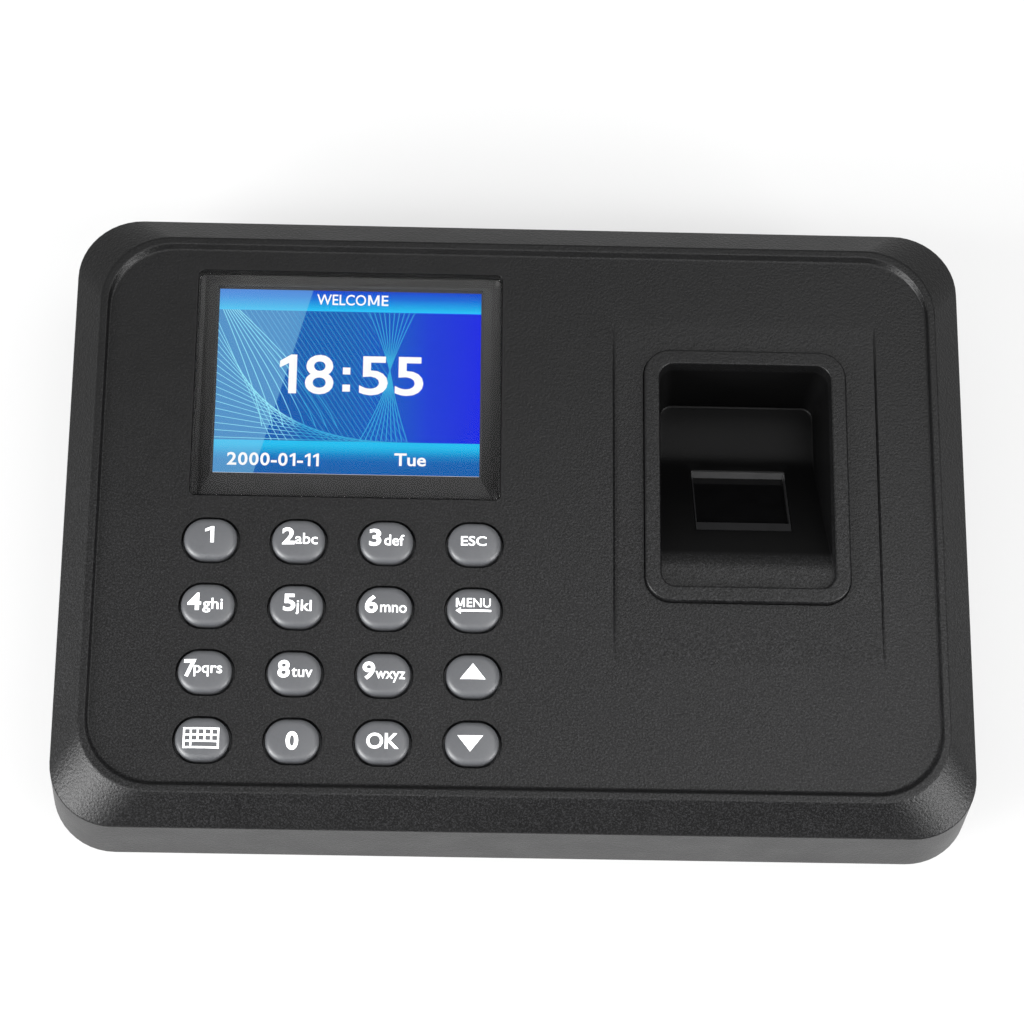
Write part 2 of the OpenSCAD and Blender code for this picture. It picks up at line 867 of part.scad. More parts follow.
front_cover();
back_cover();
display_lens();
lens_tape();
lcd_glass();
lcd_backlight();
lcd_holder();
lcd_flex();
finger_guide();
sensor_bezel();
sensor_glass();
sensor_prism();
sensor_housing();
sensor_lens();
sensor_led_board();
sensor_board();
sensor_cable();
keypad_mat();
key_board();
key_contacts();
keypad_ribbon();
main_board();
processor_chip();
memory_chips();
capacitors();
board_connectors();
usb_port();
usb_tongue();
dc_jack();
dc_pin();
speaker();
speaker_wires();
coin_cell();
coin_holder();
case_screws();
board_screws();
key_board_screws();
lcd_screws();
guide_screws();
sensor_screws();
rubber_feet();
key_at(0);  // key_1
key_at(1);  // key_2
key_at(2);  // key_3
key_at(3);  // key_esc
key_at(4);  // key_4
key_at(5);  // key_5
key_at(6);  // key_6
key_at(7);  // key_menu
key_at(8);  // key_7
key_at(9);  // key_8
key_at(10);  // key_9
key_at(11);  // key_up
key_at(12);  // key_keyboard
key_at(13);  // key_0
key_at(14);  // key_ok
key_at(15);  // key_down
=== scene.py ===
"""The looks of a fingerprint scanner terminal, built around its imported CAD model.
Lengths are in millimetres, apart from lights and camera, which are in metres."""
import math

import bmesh
import bpy
from mathutils import Matrix, Vector
from mathutils.geometry import delaunay_2d_cdt

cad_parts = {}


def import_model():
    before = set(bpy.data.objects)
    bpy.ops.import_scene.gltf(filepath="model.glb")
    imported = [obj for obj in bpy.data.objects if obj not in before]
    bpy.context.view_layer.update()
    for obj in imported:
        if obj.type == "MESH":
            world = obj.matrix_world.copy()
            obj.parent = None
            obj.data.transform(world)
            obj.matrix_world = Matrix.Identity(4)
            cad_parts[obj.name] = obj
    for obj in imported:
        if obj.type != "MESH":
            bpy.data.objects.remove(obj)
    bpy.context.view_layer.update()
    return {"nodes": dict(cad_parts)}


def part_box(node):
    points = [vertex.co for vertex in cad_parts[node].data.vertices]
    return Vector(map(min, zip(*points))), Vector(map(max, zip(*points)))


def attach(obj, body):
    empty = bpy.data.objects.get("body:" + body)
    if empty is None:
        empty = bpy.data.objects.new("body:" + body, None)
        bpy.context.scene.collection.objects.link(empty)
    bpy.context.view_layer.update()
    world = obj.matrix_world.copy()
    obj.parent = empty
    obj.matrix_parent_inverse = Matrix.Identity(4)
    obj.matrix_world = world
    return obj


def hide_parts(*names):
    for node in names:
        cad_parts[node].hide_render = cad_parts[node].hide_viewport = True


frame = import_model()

MM = 0.001
CASE_BODY = "case"
SHARP_FROM = 35


def box_mm(node):
    """A CAD node's lowest and highest corner, in millimetres."""
    low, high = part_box(node)
    return low / MM, high / MM


def middle(node):
    low, high = box_mm(node)
    return (low + high) / 2


# ---- Sizes: those of the CAD model's nodes, and the details inside them ----

CASE_LOW, CASE_HIGH = box_mm("front_cover")
SIDE_FLARE = 1.2
BODY_W = CASE_HIGH.x - CASE_LOW.x - 2 * SIDE_FLARE
BODY_H = CASE_HIGH.y - CASE_LOW.y
SPLIT_Z = box_mm("back_cover")[0].z + 10.6
CREST_Z = CASE_HIGH.z
RIM_RISE = 1.1
PANEL_Z = CREST_Z - RIM_RISE
PANEL_UNDER = PANEL_Z - 2.4
SHOULDER_Z = CREST_Z - 5
CORNER_R = 12.7
WALL = 2.5
BEVEL_SIDE = 5.5
BEVEL_END = 5.8
CREST_R = 14
RIM_FLAT = 1.3
PANEL_INSET_SIDE = 1.7
PANEL_INSET_END = 2.2
PANEL_R = 13

DISH_W = 52.8
DISH_Y0 = -31
DISH_Y1 = 42
DISH_DEPTH = 0.6
DISH_STEP = 0.24
CREVICE_AT = 0.2
CREVICE_HALF = 0.12
CREVICE_DEPTH = 0.13
LIP_W = 0.65
LIP_DEPTH = 0.05

LENS_LOW, LENS_HIGH = box_mm("display_lens")
LENS_MID = (LENS_LOW + LENS_HIGH) / 2
LENS_W = LENS_HIGH.x - LENS_LOW.x
LENS_H = LENS_HIGH.y - LENS_LOW.y
TAPE_LOW_Z = box_mm("lens_tape")[0].z
SCREEN_AT = middle("lcd_glass").xy
SCREEN_W = 52.8
SCREEN_H = 39.6
BAR_LOW = 0.176
BAR_HIGH = 0.886
# Slant and place of the painted reflection's edge on the screen picture
REFLECTION_LEAN = -0.204
REFLECTION_EDGE = 0.152

KEY_NAMES = ("1", "2", "3", "esc", "4", "5", "6", "menu", "7", "8", "9", "up", "keyboard", "0", "ok", "down")
KEY_W = 10.3
KEY_H = 8.4
KEY_GAP = 0.5
KEY_ROUND = 0.48
KEY_DOME_R = 34
INK = 0.03

GUIDE_LOW, GUIDE_HIGH = box_mm("finger_guide")
RING_AT = (GUIDE_LOW + GUIDE_HIGH) / 2
RING_W = 40.4
RING_H = 53
RING_GAP = 0.1
RING_R = 5.3
RING_Z = GUIDE_HIGH.z
RING_BORDER = 3
WELL_R = 3
CUP_T = 1.5
WELL_Z = GUIDE_LOW.z + CUP_T
WELL_DRAFT = math.radians(4)
TILT = math.radians(33)
WINDOW_AT = Vector((RING_AT.x, 8.1, PANEL_Z - 11.8))
WINDOW_W = 19.2
WINDOW_L = 19.7
RAMP_Z = PANEL_Z - 0.8
RAMP_R = 4


# ---- Outlines and meshes ----

def rounded_outline(w, h, r, centre=(0, 0), corner_steps=12, side_points=(0, 0)):
    """Points around a rounded rectangle, anticlockwise from its lower right corner.
    side_points says how many more points lie on each upright side and on each level side."""
    points = []
    for quarter, (sx, sy) in enumerate(((1, -1), (1, 1), (-1, 1), (-1, -1))):
        arc_x = centre[0] + sx * (w / 2 - r)
        arc_y = centre[1] + sy * (h / 2 - r)
        for step in range(corner_steps + 1):
            angle = math.pi / 2 * (quarter - 1 + step / corner_steps)
            points.append(Vector((arc_x + r * math.cos(angle), arc_y + r * math.sin(angle))))
        run = (w if quarter % 2 else h) - 2 * r
        along = Vector((-math.sin(angle), math.cos(angle))) * run
        start = points[-1]
        count = side_points[quarter % 2]
        points += [start + along * (i + 1) / (count + 1) for i in range(count)]
    return points


def circle_outline(r, centre=(0, 0), steps=32):
    angles = [math.tau * i / steps for i in range(steps)]
    return [Vector((centre[0] + r * math.cos(a), centre[1] + r * math.sin(a))) for a in angles]


def add_ring(bm, outline, height):
    """Vertices along an outline, at one height or at a height that depends on the place."""
    if callable(height):
        return [bm.verts.new((x, y, height(x, y))) for x, y in outline]
    return [bm.verts.new((x, y, height)) for x, y in outline]


def join_rings(bm, rings, skip=()):
    """Quads between each ring of vertices and the next, without the sides listed in skip."""
    for low, high in zip(rings, rings[1:]):
        for i in range(len(low)):
            j = (i + 1) % len(low)
            if i not in skip:
                bm.faces.new((low[i], low[j], high[j], high[i]))


def fill_between(bm, rings, extra=(), flat=None, lift=None):
    """Triangles between an outer loop of vertices and its holes, through extra points lifted
    onto the surface."""
    verts = [v for ring in rings for v in ring]
    places = [flat(v.co) if flat else v.co.xy for v in verts]
    loops = []
    for ring in rings:
        first = sum(len(loop) for loop in loops)
        loop = list(range(first, first + len(ring)))
        loops.append(loop if signed_area([places[k] for k in loop]) > 0 else loop[::-1])
    found = delaunay_2d_cdt(places + [Vector(p) for p in extra], [], loops, 1, 1e-6)
    corners = []
    for place, origin in zip(found[0], found[3]):
        known = [k for k in origin if k < len(verts)]
        corners.append(verts[known[0]] if known else bm.verts.new(lift(place.x, place.y)))
    for face, inside in zip(found[2], found[5]):
        if list(inside) == [0]:
            bm.faces.new([corners[k] for k in face])


def signed_area(points):
    """Twice the area of a flat outline, positive when it runs anticlockwise."""
    return sum(a.x * b.y - b.x * a.y for a, b in zip(points, points[1:] + points[:1]))


def mix(a, b, t):
    return [x + (y - x) * t for x, y in zip(a, b)]


def rounded_profile(points, radii):
    """A profile whose corners are replaced by smooth curves that start and end a radius away from them."""
    steps = 5
    rounded = [points[0]]
    for before, corner, after, radius in zip(points, points[1:], points[2:], radii):
        if radius == 0:
            rounded.append(corner)
            continue
        start = mix(corner, before, radius / profile_gap(corner, before))
        end = mix(corner, after, radius / profile_gap(corner, after))
        for i in range(steps + 1):
            t = i / steps
            rounded.append(mix(mix(start, corner, t), mix(corner, end, t), t))
    return rounded + [points[-1]]


def profile_gap(a, b):
    """Distance between two profile points [side inset, end inset, corner radius, height]."""
    return math.hypot(a[1] - b[1], a[3] - b[3])


def edge_curve(radius):
    """A quarter round from a flat face to an upright wall: pairs of (outward growth, drop)."""
    steps = 4
    angles = [math.pi / 2 * i / steps for i in range(steps + 1)]
    return [(radius * (1 - math.sin(a)), radius * (1 - math.cos(a))) for a in angles]


def make_piece(name, bm, material, replaces=(), body=CASE_BODY):
    """Turns a mesh in millimetres into a piece in metres that rides on a body."""
    bmesh.ops.recalc_face_normals(bm, faces=bm.faces)
    bmesh.ops.scale(bm, vec=(MM, MM, MM), verts=bm.verts)
    mesh = bpy.data.meshes.new(name)
    bm.to_mesh(mesh)
    bm.free()
    mesh.polygons.foreach_set("use_smooth", [True] * len(mesh.polygons))
    mesh.set_sharp_from_angle(angle=math.radians(SHARP_FROM))
    mesh.materials.append(material)
    piece = bpy.data.objects.new(name, mesh)
    bpy.context.scene.collection.objects.link(piece)
    weight_normals(piece)
    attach(piece, body)
    if replaces:
        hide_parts(*replaces)
    return piece


def weight_normals(piece):
    modifier = piece.modifiers.new("even_shading", "WEIGHTED_NORMAL")
    modifier.keep_sharp = True


# ---- Materials ----

def add_node(tree, kind, settings=None, **inputs):
    """A shader node; an input given a socket is linked to it."""
    made = tree.nodes.new(kind)
    for name, value in (settings or {}).items():
        setattr(made, name, value)
    for name, value in inputs.items():
        socket = made.inputs[name.replace("_", " ")]
        if isinstance(value, bpy.types.NodeSocket):
            tree.links.new(value, socket)
        else:
            socket.default_value = value
    return made


def srgb(r, g, b):
    """A colour given as 0 to 255 screen values."""
    linear = [(c / 255 / 12.92) if c <= 10 else ((c / 255 + 0.055) / 1.055) ** 2.4 for c in (r, g, b)]
    return (*linear, 1)


def start_material(name):
    material = bpy.data.materials.new(name)
    material.use_nodes = True
    tree = material.node_tree
    shader = tree.nodes["Principled BSDF"]
    place = add_node(tree, "ShaderNodeTexCoord").outputs["Object"]
    return material, tree, shader, place


def noise(tree, place, size, detail=2, roughness=0.5):
    """Noise whose features measure about size millimetres."""
    return add_node(tree, "ShaderNodeTexNoise", Vector=place, Scale=1 / (size * MM), Detail=detail,
                    Roughness=roughness).outputs["Fac"]


def remap(tree, value, low, high, from_low=0.3, from_high=0.7):
    """Maps a noise value onto a range of numbers."""
    return add_node(tree, "ShaderNodeMapRange", None, Value=value, From_Min=from_low, From_Max=from_high,
                    To_Min=low, To_Max=high).outputs["Result"]


def blend_colours(tree, factor, first, second):
    made = tree.nodes.new("ShaderNodeMix")
    made.data_type = "RGBA"
    for socket, value in ((made.inputs[0], factor), (made.inputs[6], first), (made.inputs[7], second)):
        if isinstance(value, bpy.types.NodeSocket):
            tree.links.new(value, socket)
        else:
            socket.default_value = value
    return made.outputs[2]


def scaled(colour, factor):
    return (colour[0] * factor, colour[1] * factor, colour[2] * factor, 1)


def moulded(name, colour, roughness, grain=0.35, depth=0.012, uneven=0.12, metallic=0.0, specular=0.5):
    """Moulded or machined stock: a fine grain in relief, and colour and gloss that vary in patches."""
    material, tree, shader, place = start_material(name)
    patch_size = 6
    patches = noise(tree, place, patch_size, 3)
    specks = noise(tree, place, grain * 1.7, 2, 0.6)
    tone = remap(tree, patches, 0, 1)
    shade = blend_colours(tree, tone, scaled(colour, 1 - uneven), scaled(colour, 1 + uneven))
    speck_tone = remap(tree, specks, 0, 1, 0.35, 0.75)
    speckled = blend_colours(tree, speck_tone, shade, scaled(colour, 1 + 2 * uneven))
    tree.links.new(speckled, shader.inputs["Base Color"])
    tree.links.new(remap(tree, specks, roughness - 0.04, roughness + 0.05), shader.inputs["Roughness"])
    fine = noise(tree, place, grain, 3, 0.6)
    bump = add_node(tree, "ShaderNodeBump", Height=fine, Strength=1.0, Distance=depth * MM)
    tree.links.new(bump.outputs["Normal"], shader.inputs["Normal"])
    shader.inputs["Metallic"].default_value = metallic
    shader.inputs["Specular IOR Level"].default_value = specular
    return material


def leather_plastic(name, colour, roughness, depth, shade_below=None):
    """ABS with the fine pebbled grain of a textured mould, and pale specks in its grain that are painted
    stronger towards low Y, as painted light for the brighter, grainier sheen low on the face.
    Below the height given as its last argument it is darker, less glossy and less grainy: painted shade for
    the dim depths of the finger well."""
    material, tree, shader, place = start_material(name)
    pebble_size = 0.5
    wobble_size = 0.3 * MM
    speck_and_sheen_brightness = 8
    wobble = add_node(tree, "ShaderNodeTexNoise", Vector=place, Scale=1 / (pebble_size * MM), Detail=2)
    moved = add_node(tree, "ShaderNodeVectorMath", {"operation": "MULTIPLY_ADD"})
    tree.links.new(wobble.outputs["Color"], moved.inputs[0])
    moved.inputs[1].default_value = (wobble_size, wobble_size, wobble_size)
    tree.links.new(place, moved.inputs[2])
    pebbles = add_node(tree, "ShaderNodeTexVoronoi", {"feature": "SMOOTH_F1"}, Vector=moved.outputs[0],
                       Scale=1 / (pebble_size * MM), Smoothness=0.6).outputs["Distance"]
    fine = noise(tree, place, 0.3, 3, 0.7)
    relief = add_node(tree, "ShaderNodeMath", {"operation": "MULTIPLY_ADD"})
    tree.links.new(fine, relief.inputs[0])
    relief.inputs[1].default_value = 0.8
    tree.links.new(pebbles, relief.inputs[2])
    bump = add_node(tree, "ShaderNodeBump", Height=relief.outputs[0], Strength=1.0, Distance=depth * MM)
    tree.links.new(bump.outputs["Normal"], shader.inputs["Normal"])
    patches = remap(tree, noise(tree, place, 9, 3), 0, 1)
    shade = blend_colours(tree, patches, scaled(colour, 0.8), scaled(colour, 1.0))
    split = add_node(tree, "ShaderNodeSeparateXYZ", Vector=place)
    # Painted light: the pale specks are strongest at low Y and fade towards high Y. They stand in for the
    # sheen that makes the lower face look lighter and grainier.
    painted_light_low_y = remap(tree, split.outputs["Y"], 1, 0.3, -15 * MM, 30 * MM)
    specks = add_node(tree, "ShaderNodeMath", {"operation": "MULTIPLY"})
    tree.links.new(remap(tree, noise(tree, place, 0.34, 2, 0.75), 0, 1, 0.46, 0.72), specks.inputs[0])
    tree.links.new(painted_light_low_y, specks.inputs[1])
    speckled = blend_colours(tree, specks.outputs[0], shade, scaled(colour, speck_and_sheen_brightness))
    tree.links.new(remap(tree, patches, roughness - 0.02, roughness + 0.03, 0, 1), shader.inputs["Roughness"])
    if shade_below is None:
        tree.links.new(speckled, shader.inputs["Base Color"])
        shader.inputs["Specular IOR Level"].default_value = 0.21
        return material
    # Painted shade: deep in the finger well the colour is darkened and the gloss lowered, standing in for the
    # shade that falls there.
    painted_well_shade = remap(tree, split.outputs["Z"], 1, 0, (shade_below - 0.6) * MM, (shade_below + 0.2) * MM)
    tree.links.new(remap(tree, painted_well_shade, 1, 0.25, 0, 1), bump.inputs["Strength"])
    tree.links.new(blend_colours(tree, painted_well_shade, speckled, scaled(colour, 0.8)), shader.inputs["Base Color"])
    tree.links.new(remap(tree, painted_well_shade, 0.21, 0.12, 0, 1), shader.inputs["Specular IOR Level"])
    return material


PLASTIC = (0.0022, 0.0022, 0.0023, 1)
case_plastic = leather_plastic("case_plastic", PLASTIC, 0.38, 0.045)
guide_plastic = leather_plastic("guide_plastic", PLASTIC, 0.38, 0.045, RAMP_Z - 1.2)
back_plastic = leather_plastic("back_plastic", scaled(PLASTIC, 0.9), 0.5, 0.03)
key_plastic = moulded("key_plastic", srgb(62.5, 63.5, 66), 0.42, grain=0.25, depth=0.004, uneven=0.05)
legend_ink = moulded("legend_ink", srgb(246, 247, 249), 0.5, grain=0.15, depth=0.003, uneven=0.03)
black_plastic = moulded("black_plastic", srgb(30, 30, 32), 0.45)
rubber = moulded("rubber", srgb(26, 26, 27), 0.75, grain=0.3, depth=0.03, uneven=0.2)
steel = moulded("steel", srgb(176, 178, 182), 0.28, grain=0.1, depth=0.002, uneven=0.06, metallic=1.0)
dark_steel = moulded("dark_steel", srgb(96, 98, 102), 0.34, grain=0.12, depth=0.004, uneven=0.1,
                     metallic=1.0)
board_green = moulded("board_green", srgb(24, 92, 58), 0.35, grain=0.5, depth=0.01, uneven=0.12)
chip_black = moulded("chip_black", srgb(24, 25, 27), 0.6, grain=0.12, depth=0.006)
gold = moulded("gold", srgb(222, 178, 92), 0.28, grain=0.1, depth=0.002, metallic=1.0)
ivory = moulded("ivory", srgb(226, 222, 208), 0.45)
white_plastic = moulded("white_plastic", srgb(234, 235, 236), 0.4)
amber_flex = moulded("amber_flex", srgb(192, 122, 48), 0.35)
grey_ribbon = moulded("grey_ribbon", srgb(208, 207, 200), 0.45)
silicone = moulded("silicone", srgb(58, 60, 64), 0.65, depth=0.02)
wire_jacket = moulded("wire_jacket", srgb(150, 24, 22), 0.4)
aluminium = moulded("aluminium", srgb(170, 174, 180), 0.35, metallic=1.0)
sensor_window = moulded("sensor_window", srgb(7, 7, 7.5), 0.12, grain=2, depth=0.001, specular=0.4)


def clear_material(name, tint, ior):
    """Clear or smoked glass with faint smears in its gloss."""
    material, tree, shader, place = start_material(name)
    smears = remap(tree, noise(tree, place, 14, 4), 0.02, 0.05)
    tree.links.new(smears, shader.inputs["Roughness"])
    shade = blend_colours(tree, remap(tree, noise(tree, place, 25, 2), 0, 1), tint, scaled(tint, 0.96))
    tree.links.new(shade, shader.inputs["Base Color"])
    shader.inputs["Transmission Weight"].default_value = 1.0
    shader.inputs["IOR"].default_value = ior
    return material


def window_glass(mirrored):
    """A thin clear window: it lets light straight through and mirrors a little, more so at a slant,
    with faint smears in its gloss. mirrored is the part of the light that it mirrors head on."""
    material, tree, shader, place = start_material("window_glass")
    smears = remap(tree, noise(tree, place, 14, 4), 0.02, 0.05)
    tree.links.new(smears, shader.inputs["Roughness"])
    shader.inputs["Metallic"].default_value = 1
    shader.inputs["Base Color"].default_value = (1, 1, 1, 1)
    slant = add_node(tree, "ShaderNodeMath", {"operation": "POWER"})
    tree.links.new(add_node(tree, "ShaderNodeLayerWeight", Blend=0.5).outputs["Facing"], slant.inputs[0])
    slant.inputs[1].default_value = 5
    tree.links.new(remap(tree, slant.outputs[0], mirrored, 1, 0, 1), shader.inputs["Alpha"])
    return material


def bezel_material():
    """Black plastic, grey where it catches the light at the lower end of the sensor's slope."""
    material, tree, shader, place = start_material("bezel_plastic")
    down = add_node(tree, "ShaderNodeSeparateXYZ", Vector=place).outputs["Y"]
    edge = WINDOW_AT.y + WINDOW_L / 2 * math.cos(TILT) - 1.5
    grey = remap(tree, down, 0, 1, (edge - 1) * MM, edge * MM)
    patches = remap(tree, noise(tree, place, 3, 3), 0.9, 1.1)
    shade = blend_colours(tree, grey, (0.012, 0.012, 0.0125, 1), (0.06, 0.06, 0.0612, 1))
    tree.links.new(blend_colours(tree, patches, (0, 0, 0, 1), shade), shader.inputs["Base Color"])
    tree.links.new(remap(tree, patches, 0.36, 0.44, 0.9, 1.1), shader.inputs["Roughness"])
    shader.inputs["Specular IOR Level"].default_value = 0.15
    return material


lens_glass = window_glass(0.008)
prism_glass = clear_material("prism_glass", (0.75, 0.85, 0.9, 1), 1.5)


def border_ink():
    """The grey ink behind the display window, with painted light and shade: painted paler towards the top and
    darker near the left edge.
    """
    material, tree, shader, place = start_material("border_ink")
    split = add_node(tree, "ShaderNodeSeparateXYZ", Vector=place)
    # Painted light: the ink is painted paler towards the top.
    rise = remap(tree, split.outputs["Y"], 0, 1, LENS_LOW.y * MM, LENS_HIGH.y * MM)
    shade = blend_colours(tree, rise, (0.01, 0.01, 0.01, 1), (0.058, 0.058, 0.057, 1))
    # Painted shade: the ink is painted darker near the left edge.
    left = remap(tree, split.outputs["X"], 0.35, 0, (LENS_LOW.x + 3) * MM, (LENS_LOW.x + 9) * MM)
    shade = blend_colours(tree, left, shade, (0, 0, 0, 1))
    patches = remap(tree, noise(tree, place, 5, 3), 0, 0.25)
    tree.links.new(blend_colours(tree, patches, shade, (0.03, 0.03, 0.032, 1)), shader.inputs["Base Color"])
    tree.links.new(remap(tree, patches, 0.5, 0.6, 0, 0.25), shader.inputs["Roughness"])
    shader.inputs["Specular IOR Level"].default_value = 0.1
    return material


# ---- Front cover ----

def case_ring(bm, point):
    side, end, radius, z = point
    return add_ring(bm, rounded_outline(BODY_W - 2 * side, BODY_H - 2 * end, radius), z)


def dish_drop(x, y):
    """How far the face lies below the panel's level, in the long shallow dish around the finger guide."""
    half = (DISH_Y1 - DISH_Y0) / 2
    along = (y - (DISH_Y0 + DISH_Y1) / 2) / half
    depth = max(0, 1 - along * along)
    from_edge = DISH_W / 2 - abs(x - RING_AT.x)
    inside = min(max(from_edge / DISH_STEP + 0.5, 0), 1)
    step = DISH_DEPTH * depth * inside * inside * (3 - 2 * inside)
    crevice = CREVICE_DEPTH * max(0, 1 - abs(from_edge - CREVICE_AT) / CREVICE_HALF)
    past_crevice = from_edge - CREVICE_AT - CREVICE_HALF
    lip = LIP_DEPTH * min(max(1 - past_crevice / LIP_W, 0), 1) if from_edge > CREVICE_AT else 0
    return step + math.sqrt(depth) * (crevice + lip)


def face_height(x, y):
    return PANEL_Z - dish_drop(x, y)


def key_outline(grow, at):
    h = KEY_H + 2 * grow
    return rounded_outline(KEY_W + 2 * grow, h, KEY_ROUND * h, at)


def ring_outline(grow):
    return rounded_outline(RING_W + 2 * grow, RING_H + 2 * grow, RING_R + grow, RING_AT.xy, 12, (24, 12))


def lens_outline(grow, r=1.3):
    return rounded_outline(LENS_W + 2 * grow, LENS_H + 2 * grow, r, LENS_MID.xy, 6)


def hole_through_face(bm, outline, radius, low_z):
    """An opening with a rounded upper edge. Returns its top ring and its bottom ring."""
    rings = [add_ring(bm, outline(grow), lambda x, y: face_height(x, y) - drop)
             for grow, drop in edge_curve(radius)]
    rings.append(add_ring(bm, outline(0), low_z))
    join_rings(bm, rings)
    return rings[0], rings[-1]


def dish_points():
    """Points that carry the dish's shape, kept clear of the guide's opening."""
    half = DISH_W / 2
    across_edge = (-0.18, -0.12, -0.06, 0, 0.06, 0.12, 0.2, 0.26, 0.32, 0.55, 0.75, 0.97, 1.5, 3.5)
    offsets = [half - inset for inset in across_edge] + [18, 12, 6]
    columns = [RING_AT.x] + [RING_AT.x + side * offset for offset in offsets for side in (-1, 1)]
    rows = [DISH_Y0 + (DISH_Y1 - DISH_Y0) * i / 48 for i in range(49)]
    clear_x = RING_W / 2 + 0.8
    clear_y = RING_H / 2 + 0.8
    return [(x, y) for x in columns for y in rows
            if abs(x - RING_AT.x) > clear_x or abs(y - RING_AT.y) > clear_y]


def socket_holes():
    """The USB and power openings in the top wall, as outlines in X and Z."""
    usb_low, usb_high = box_mm("usb_port")
    usb_mid = (usb_low + usb_high) / 2
    pin = middle("dc_pin")
    gap = 0.4
    usb_w = usb_high.x - usb_low.x + 2 * gap
    usb_h = usb_high.z - usb_low.z + 2 * gap
    power_r = 4.1
    usb_at = (usb_mid.x, usb_mid.z)
    usb = lambda grow: rounded_outline(usb_w + 2 * grow, usb_h + 2 * grow, 0.6 + grow, usb_at, 5)
    power = lambda grow: circle_outline(power_r + grow, (pin.x, pin.z))
    return usb, power


def wall_with_sockets(bm, outside, inside):
    """Fills the top wall's outer and inner faces, each a loop of four vertices, around the sockets."""
    outer_y = BODY_H / 2
    inner_y = outer_y - WALL
    starts = []
    ends = []
    for outline in socket_holes():
        rings = [[bm.verts.new((x, outer_y - drop, z)) for x, z in outline(grow)]
                 for grow, drop in edge_curve(0.3)]
        rings.append([bm.verts.new((x, inner_y, z)) for x, z in outline(0)])
        join_rings(bm, rings)
        starts.append(rings[0])
        ends.append(rings[-1])
    fill_between(bm, [outside] + starts, flat=lambda co: Vector((co.x, co.z)))
    fill_between(bm, [inside] + ends, flat=lambda co: Vector((co.x, co.z)))


def front_cover():
    bm = bmesh.new()
    corners = [
        (WALL, WALL, CORNER_R - WALL, SPLIT_Z),
        (-SIDE_FLARE, 0, CORNER_R, SPLIT_Z),
        (0, 0, CORNER_R, SHOULDER_Z),
        (BEVEL_SIDE, BEVEL_END, CREST_R, CREST_Z),
        (BEVEL_SIDE + RIM_FLAT, BEVEL_END + RIM_FLAT, CREST_R - 0.9, CREST_Z),
        (BEVEL_SIDE + PANEL_INSET_SIDE, BEVEL_END + PANEL_INSET_END, PANEL_R, PANEL_Z),
        (BEVEL_SIDE + PANEL_INSET_SIDE + 2, BEVEL_END + PANEL_INSET_END + 2, PANEL_R - 1.5, PANEL_Z),
    ]
    profile = rounded_profile(corners, (0.3, 0.3, 0.3, 0.25, 0.3))
    rings = [case_ring(bm, point) for point in profile]
    wall_start = 6
    top_side = 25
    ceiling_z = SHOULDER_Z - 1.1
    cavity_side = BEVEL_SIDE - 0.1
    cavity_end = BEVEL_END - 0.3
    cavity_r = CREST_R - 5
    join_rings(bm, rings[:wall_start + 1])
    join_rings(bm, rings[wall_start:wall_start + 2], skip=(top_side,))
    join_rings(bm, rings[wall_start + 1:])
    inner = [rings[0],
             case_ring(bm, (WALL, WALL, CORNER_R - WALL, ceiling_z)),
             case_ring(bm, (cavity_side, cavity_end, cavity_r, ceiling_z)),
             case_ring(bm, (cavity_side, cavity_end, cavity_r, PANEL_UNDER))]
    join_rings(bm, inner[:2], skip=(top_side,))
    join_rings(bm, inner[1:])
    low, high = rings[wall_start], rings[wall_start + 1]
    in_low, in_high = inner[0], inner[1]
    after = top_side + 1
    wall_with_sockets(bm, [low[top_side], low[after], high[after], high[top_side]],
                      [in_low[top_side], in_low[after], in_high[after], in_high[top_side]])
    tops = []
    bottoms = []
    for key in KEY_NAMES:
        at = middle("key_" + key).xy
        top, bottom = hole_through_face(bm, lambda grow: key_outline(KEY_GAP + grow, at), 0.15, PANEL_UNDER)
        tops.append(top)
        bottoms.append(bottom)
    top, bottom = hole_through_face(bm, lambda grow: ring_outline(RING_GAP + grow), 0.12, PANEL_UNDER)
    tops.append(top)
    bottoms.append(bottom)
    top, ledge = hole_through_face(bm, lambda grow: lens_outline(0.15 + grow), 0.1, TAPE_LOW_Z)
    tops.append(top)
    ledge_w = 2
    window = [ledge, add_ring(bm, lens_outline(-ledge_w), TAPE_LOW_Z),
              add_ring(bm, lens_outline(-ledge_w), PANEL_UNDER)]
    join_rings(bm, window)
    bottoms.append(window[-1])
    fill_between(bm, [rings[-1]] + tops, dish_points(), lift=lambda x, y: (x, y, face_height(x, y)))
    fill_between(bm, [inner[-1]] + bottoms)
    return make_piece("front_cover_shell", bm, case_plastic, ["front_cover"])


# ---- Finger guide ----

def floor_height(y):
    """Height of the well's bottom: a level ramp, a round knee, the window's slope and a level foot."""
    knee_y = WINDOW_AT.y - (RAMP_Z - WINDOW_AT.z) / math.tan(TILT) - RAMP_R * math.tan(TILT / 2)
    if y < knee_y:
        return RAMP_Z
    if y < knee_y + RAMP_R * math.sin(TILT):
        return RAMP_Z - RAMP_R + math.sqrt(RAMP_R ** 2 - (y - knee_y) ** 2)
    slope = WINDOW_AT.z - (y - WINDOW_AT.y) * math.tan(TILT)
    softness = 0.9
    return (slope + WELL_Z + math.hypot(slope - WELL_Z, softness)) / 2


def well_outline(depth):
    """The well's outline at a depth below the ring's top."""
    shrink = depth * math.tan(WELL_DRAFT)
    return rounded_outline(RING_W - 2 * RING_BORDER - 2 * shrink, RING_H - 2 * RING_BORDER - 2 * shrink,
                           WELL_R - shrink * 0.2, RING_AT.xy, 10, (56, 16))


